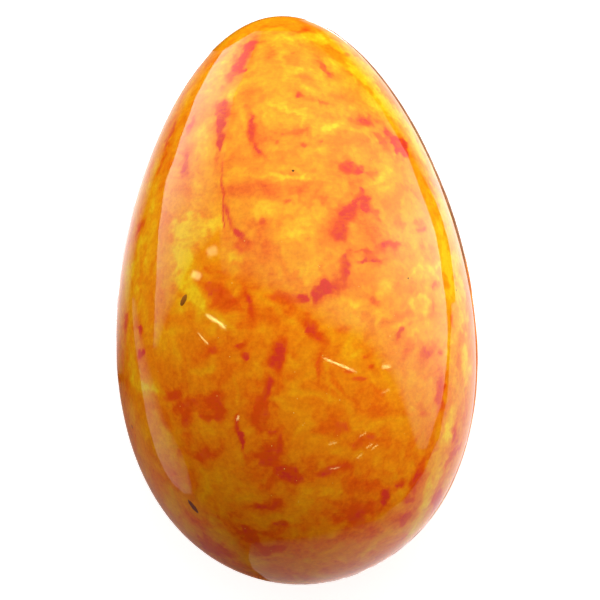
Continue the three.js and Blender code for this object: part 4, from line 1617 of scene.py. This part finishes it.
LOW_FRINGE = (
    (-22.0, -47.4, 0.1, -46.0, 0.05, -44.0, 0.0),
    (-30.0, -46.0, 0.12, -43.0, 0.1, -40.5, 0.0),
    (-40.0, -43.0, 0.15, -39.5, 0.12, -36.5, 0.0),
    (-50.0, -38.2, 0.2, -34.0, 0.18, -27.0, 0.0),
    (-58.0, -33.2, 0.2, -27.5, 0.2, -19.0, 0.0),
    (-65.9, -26.2, 0.15, -19.0, 0.15, -12.5, 0.0),
    (-71.0, -18.0, 0.1, -14.0, 0.1, -10.5, 0.0),
    (-74.0, -12.0, 0.0, -9.0, 0.0, -6.5, 0.0),
)
# Small lamps: places across and along, length, width, turn and glow.
GLINTS = (
    (-21.5, 12.9, 3.4, 2.8, 20.0, 8.0),
    (-25.8, 6.3, 3.0, 2.2, -25.0, 12.0),
    (-20.6, -5.5, 6.6, 0.5, -28.0, 34.0),
    (-23.9, -10.0, 4.6, 0.35, -50.0, 24.0),
    (12.0, -17.0, 10.0, 0.7, -22.0, 24.0),
    (24.3, -17.2, 2.4, 1.0, -10.0, 14.0),
    (24.3, -23.8, 2.6, 0.35, 25.0, 9.0),
    (18.2, -35.9, 2.8, 0.35, 35.0, 9.0),
    (10.1, -38.2, 2.6, 0.35, 0.0, 9.0),
    (20.0, -39.3, 2.2, 0.35, 30.0, 10.0),
    (21.4, -39.6, 2.2, 0.35, 30.0, 10.0),
    (17.4, -41.4, 2.2, 0.35, 30.0, 8.0),
    (10.9, -44.3, 3.2, 0.35, 18.0, 10.0),
    (-15.0, -31.4, 1.2, 0.7, 60.0, 12.0),
)


@dataclass(frozen=True)
class LightCard:
    """A light that only reflections show, placed by where its reflection lies on the egg."""

    name: str

    def surface(self) -> tuple[np.ndarray, np.ndarray, int]:
        """Divides the light into a grid, which each kind of light does its own way."""
        raise NotImplementedError

    def build(self, view: View, material: bpy.types.Material) -> bpy.types.Object:
        """Makes the light where the camera sees it mirrored.

        Args:
            view: the camera's view of the egg.
            material: the light's material.

        Returns:
            The light's sheet, which only reflections show.
        """
        spots, glows, columns = self.surface()
        places, heading = view.meet(spots)
        normals = view.form.normals(places)
        mirrored = heading - 2 * np.sum(heading * normals, axis=1, keepdims=True) * normals
        corners = places + mirrored * LIGHT_DISTANCE
        faces = []
        for line in range(len(spots) // columns - 1):
            for column in range(columns - 1):
                start = line * columns + column
                faces.append((start, start + 1, start + columns + 1, start + columns))
        mesh = bpy.data.meshes.new(self.name)
        mesh.from_pydata([tuple(corner) for corner in corners], [], faces)
        keep_attribute(mesh, "glow", glows)
        mesh.materials.append(material)
        light = in_scene(self.name, mesh)
        for kind in ("camera", "diffuse", "transmission", "volume_scatter", "shadow"):
            setattr(light, "visible_" + kind, False)
        return light


def refined(table: np.ndarray, steps: int) -> np.ndarray:
    """Fills in rows between the rows of a table.

    Args:
        table: the rows.
        steps: how many steps lead from one row to the next.

    Returns:
        The finer table.
    """
    fine = np.linspace(0, len(table) - 1, (len(table) - 1) * steps + 1)
    return np.stack([np.interp(fine, np.arange(len(table)), column) for column in table.T], axis=1)


@dataclass(frozen=True)
class Sheet(LightCard):
    """A wide card or window, given line by line."""

    rows: tuple[tuple[float, ...], ...]
    steps_across: int = 12
    steps_along: int = 5

    def surface(self) -> tuple[np.ndarray, np.ndarray, int]:
        """Divides the card finely between its rows and stops.

        Returns:
            The places in the picture in metres, the glow at each, and the number of columns.
        """
        lines = refined(np.array(self.rows), self.steps_along)
        across = refined(lines[:, 1::2].T, self.steps_across).T
        glow = refined(lines[:, 2::2].T, self.steps_across).T
        along = np.repeat(lines[:, :1], across.shape[1], axis=1)
        return np.stack([across.ravel(), along.ravel()], axis=1) * MM, glow.ravel(), across.shape[1]


@dataclass(frozen=True)
class Glint(LightCard):
    """A small bright lamp, seen as a streak, in millimetres and degrees of the picture."""

    across: float
    along: float
    length: float
    width: float
    turn: float
    glow: float
    steps_long: int = 9
    steps_wide: int = 5

    def surface(self) -> tuple[np.ndarray, np.ndarray, int]:
        """Divides the streak into a small grid, dark at its edge.

        Returns:
            The places in the picture in metres, the glow at each, and the number of columns.
        """
        turn = math.radians(self.turn)
        long_steps, wide_steps = np.linspace(-1, 1, self.steps_long), np.linspace(-1, 1, self.steps_wide)
        lengthways, sideways = np.meshgrid(long_steps, wide_steps)
        glow = np.clip(1 - lengthways**4 - sideways**2, 0, 1) * self.glow
        long_side = lengthways.ravel() * self.length / 2
        short_side = sideways.ravel() * self.width / 2
        across = self.across + long_side * math.cos(turn) - short_side * math.sin(turn)
        along = self.along + long_side * math.sin(turn) + short_side * math.cos(turn)
        return np.stack([across, along], axis=1) * MM, glow.ravel(), self.steps_long


@dataclass(frozen=True)
class Studio:
    """The pale floor, the soft light round the egg and the cards that it reflects."""

    view: View
    light_turn_deg: float = 17.0
    level: float = 0.3
    sides: float = 0.55
    fill: float = 0.12
    slope: float = 2.35
    darkest: float = 0.04
    backdrop: float = 0.9
    pool: float = 0.3
    pool_from: float = 0.8
    dim: float = 0.01
    bounce_tint: Colour = (1, 0.3, 0.12, 1)
    lamp_tint: Colour = (0.9, 1, 0.36, 1)
    floor_size: float = 6.0
    floor_shade: float = 0.8
    floor_grain: float = 0.004
    floor_glow: float = 0.24
    floor_seen_glow: float = 0.4

    def floor(self) -> bpy.types.Object:
        """Makes the floor, which the coat doesn't reflect.

        Returns:
            The floor.
        """
        half = self.floor_size / 2
        corners = [(-half, -half, 0), (half, -half, 0), (half, half, 0), (-half, half, 0)]
        mesh = bpy.data.meshes.new("studio_floor")
        mesh.from_pydata(corners, [], [(0, 1, 2, 3)])
        floor = in_scene("studio_floor", mesh)
        floor.visible_glossy = False
        material, net = new_material("pale_floor")
        place = net.out(net.add("ShaderNodeTexCoord"), "Object")
        shade = net.noise(place, 4 * MM, 2, 0.0) * self.floor_grain + self.floor_shade
        tint = net.made("ShaderNodeCombineColor", {0: shade, 1: shade, 2: shade})
        plain = net.made("ShaderNodeBsdfDiffuse", {"Color": tint})
        seen = net.out(net.add("ShaderNodeLightPath"), "Is Camera Ray")
        strength = seen * self.floor_seen_glow + self.floor_glow
        glow = net.made("ShaderNodeEmission", {"Color": WHITE, "Strength": strength})
        net.add("ShaderNodeOutputMaterial", {0: net.made("ShaderNodeAddShader", {0: plain, 1: glow})})
        mesh.materials.append(material)
        return floor

    def sky(self) -> None:
        """Lights the egg softly, mostly from beyond its narrow end."""
        world = bpy.data.worlds.new("soft_light")
        world.use_nodes = True
        world.node_tree.nodes.clear()
        net = Net(world.node_tree)
        turn = math.radians(self.light_turn_deg)
        heading = (math.sin(turn), math.cos(turn), 0.0)
        direction = net.out(net.add("ShaderNodeTexCoord"), "Generated")
        across, _, height = net.split(direction)
        even = (height * height * -1.0 + 1.0) * self.sides + self.level
        facing = net.vector("DOT_PRODUCT", direction, heading)
        level = net.math("MAXIMUM", facing * self.slope + even, self.darkest)
        filled = net.math("MAXIMUM", across, 0.0) * self.fill + level
        light = net.made("ShaderNodeBackground", {"Color": WHITE, "Strength": filled})
        pale = net.made("ShaderNodeBackground", {"Color": WHITE, "Strength": self.backdrop})
        down = net.vector("DOT_PRODUCT", direction, (0, 0, -1))
        pool = net.ease(down, self.pool_from, 1.0) * self.pool + self.dim
        mirrored = net.made("ShaderNodeBackground", {"Color": self.bounce_tint, "Strength": pool})
        paths = net.add("ShaderNodeLightPath")
        first = net.made("ShaderNodeMixShader", {0: net.out(paths, "Is Glossy Ray"), 1: light, 2: mirrored})
        mixed = net.made("ShaderNodeMixShader", {0: net.out(paths, "Is Camera Ray"), 1: first, 2: pale})
        net.add("ShaderNodeOutputWorld", {0: mixed})
        bpy.context.scene.world = world

    def card_material(self, name: str, tint: Colour) -> bpy.types.Material:
        """Makes a material of the lights, which adds its glow to whatever lies behind.

        Args:
            name: the material's name.
            tint: the light's colour.

        Returns:
            The material.
        """
        material, net = new_material(name)
        material.cycles.emission_sampling = "NONE"
        glow = net.out(net.add("ShaderNodeAttribute", attribute_name="glow"), "Fac")
        light = net.made("ShaderNodeEmission", {"Color": tint, "Strength": glow})
        both = net.made("ShaderNodeAddShader", {0: light, 1: net.made("ShaderNodeBsdfTransparent")})
        net.add("ShaderNodeOutputMaterial", {0: both})
        return material

    def cards(self) -> list[LightCard]:
        """Lists the lights, each drawn as its reflection lies on the egg.

        Returns:
            The small lamps and the cards.
        """
        return [
            *(Glint(f"glint_{number}", *row) for number, row in enumerate(GLINTS, 1)),
            Sheet("main_card", MAIN_CARD),
            Sheet("window_card", WINDOW_CARD),
            Sheet("crescent_card", CRESCENT_CARD),
            Sheet("left_fringe_card", LEFT_FRINGE),
            Sheet("low_fringe_card", LOW_FRINGE),
            Sheet("right_fringe_card", RIGHT_FRINGE),
        ]

    def build(self) -> None:
        """Makes the floor, the light and the cards, and sets a plain view transform."""
        self.sky()
        self.floor()
        soft = self.card_material("soft_light_card", WHITE)
        warm = self.card_material("warm_lamp", self.lamp_tint)
        for card in self.cards():
            card.build(self.view, warm if isinstance(card, Glint) else soft)
        view_settings = bpy.context.scene.view_settings
        view_settings.view_transform = "Standard"
        view_settings.look = "None"


def dressed(piece: bpy.types.Object) -> None:
    """Makes a piece stand for the CAD egg and reports it.

    Args:
        piece: the piece.
    """
    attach(piece, "root")
    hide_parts("egg")
    triangles = sum(len(polygon.vertices) - 2 for polygon in piece.data.polygons)
    LOG.info("%s: %d vertices, %d triangles", piece.name, len(piece.data.vertices), triangles)


def main() -> None:
    """Builds the egg, its camera and its studio."""
    logging.basicConfig(level=logging.INFO, format="%(name)s: %(message)s")
    noise.seed_set(NOISE_SEED)
    lowest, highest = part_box("egg")
    reach = EggForm.diameter / 2
    middle = (lowest.y + highest.y) / 2
    form = EggForm(Vector((lowest.x + reach, middle, highest.z - reach - EggForm.join_gap / 2)))
    view = View(form)
    view.build()
    coat = MarbledCoat().build()
    join = PlainChocolate("join_chocolate").build()
    marbling = Marbling(view)
    upper = HalfShell(form, Side.UPPER).build(coat, join)
    marbling.paint_upper(upper.data)
    dressed(upper)
    lower = HalfShell(form, Side.LOWER).build(coat, join)
    marbling.paint_scattered(lower.data)
    dressed(lower)
    dressed(JoinBead(form).build(join))
    small = (
        Speck(-0.2, 34.2, 0.8, 0.7),
        Speck(30.3, 5.7, 0.8, 0.6),
        Speck(43.0, 2.6, 0.7, 0.5),
        Speck(-42.8, -33.6, 1.8, 1.1, 60),
    )
    kinds = (
        ("egg_flecks", small, (0.08, 0.035, 0.015, 1), (0.14, 0.06, 0.02, 1)),
        ("egg_crumb", (Speck(-29.2, -0.1, 3.6, 1.7, 55),), (0.26, 0.075, 0.006, 1), (0.33, 0.11, 0.01, 1)),
        ("egg_dash", (Speck(-26.6, -54.8, 5.4, 2.8, -60),), (0.2, 0.05, 0.03, 1), (0.28, 0.08, 0.045, 1)),
    )
    for name, specks, dark, bloom in kinds:
        finish = PlainChocolate(name + "_chocolate", dark, bloom, roughness=0.5, gleam=0.05).build()
        dressed(Specks(view, name, specks).build(finish))
    pale, paler = (0.9, 0.5, 0.06, 1), (0.95, 0.65, 0.15, 1)
    bubble_finish = PlainChocolate("bubble_rims", pale, paler, roughness=0.6).build()
    dressed(Specks(view, "egg_bubbles", bubbles()).build(bubble_finish))
    Studio(view).build()


if __name__ == "__main__":
    main()
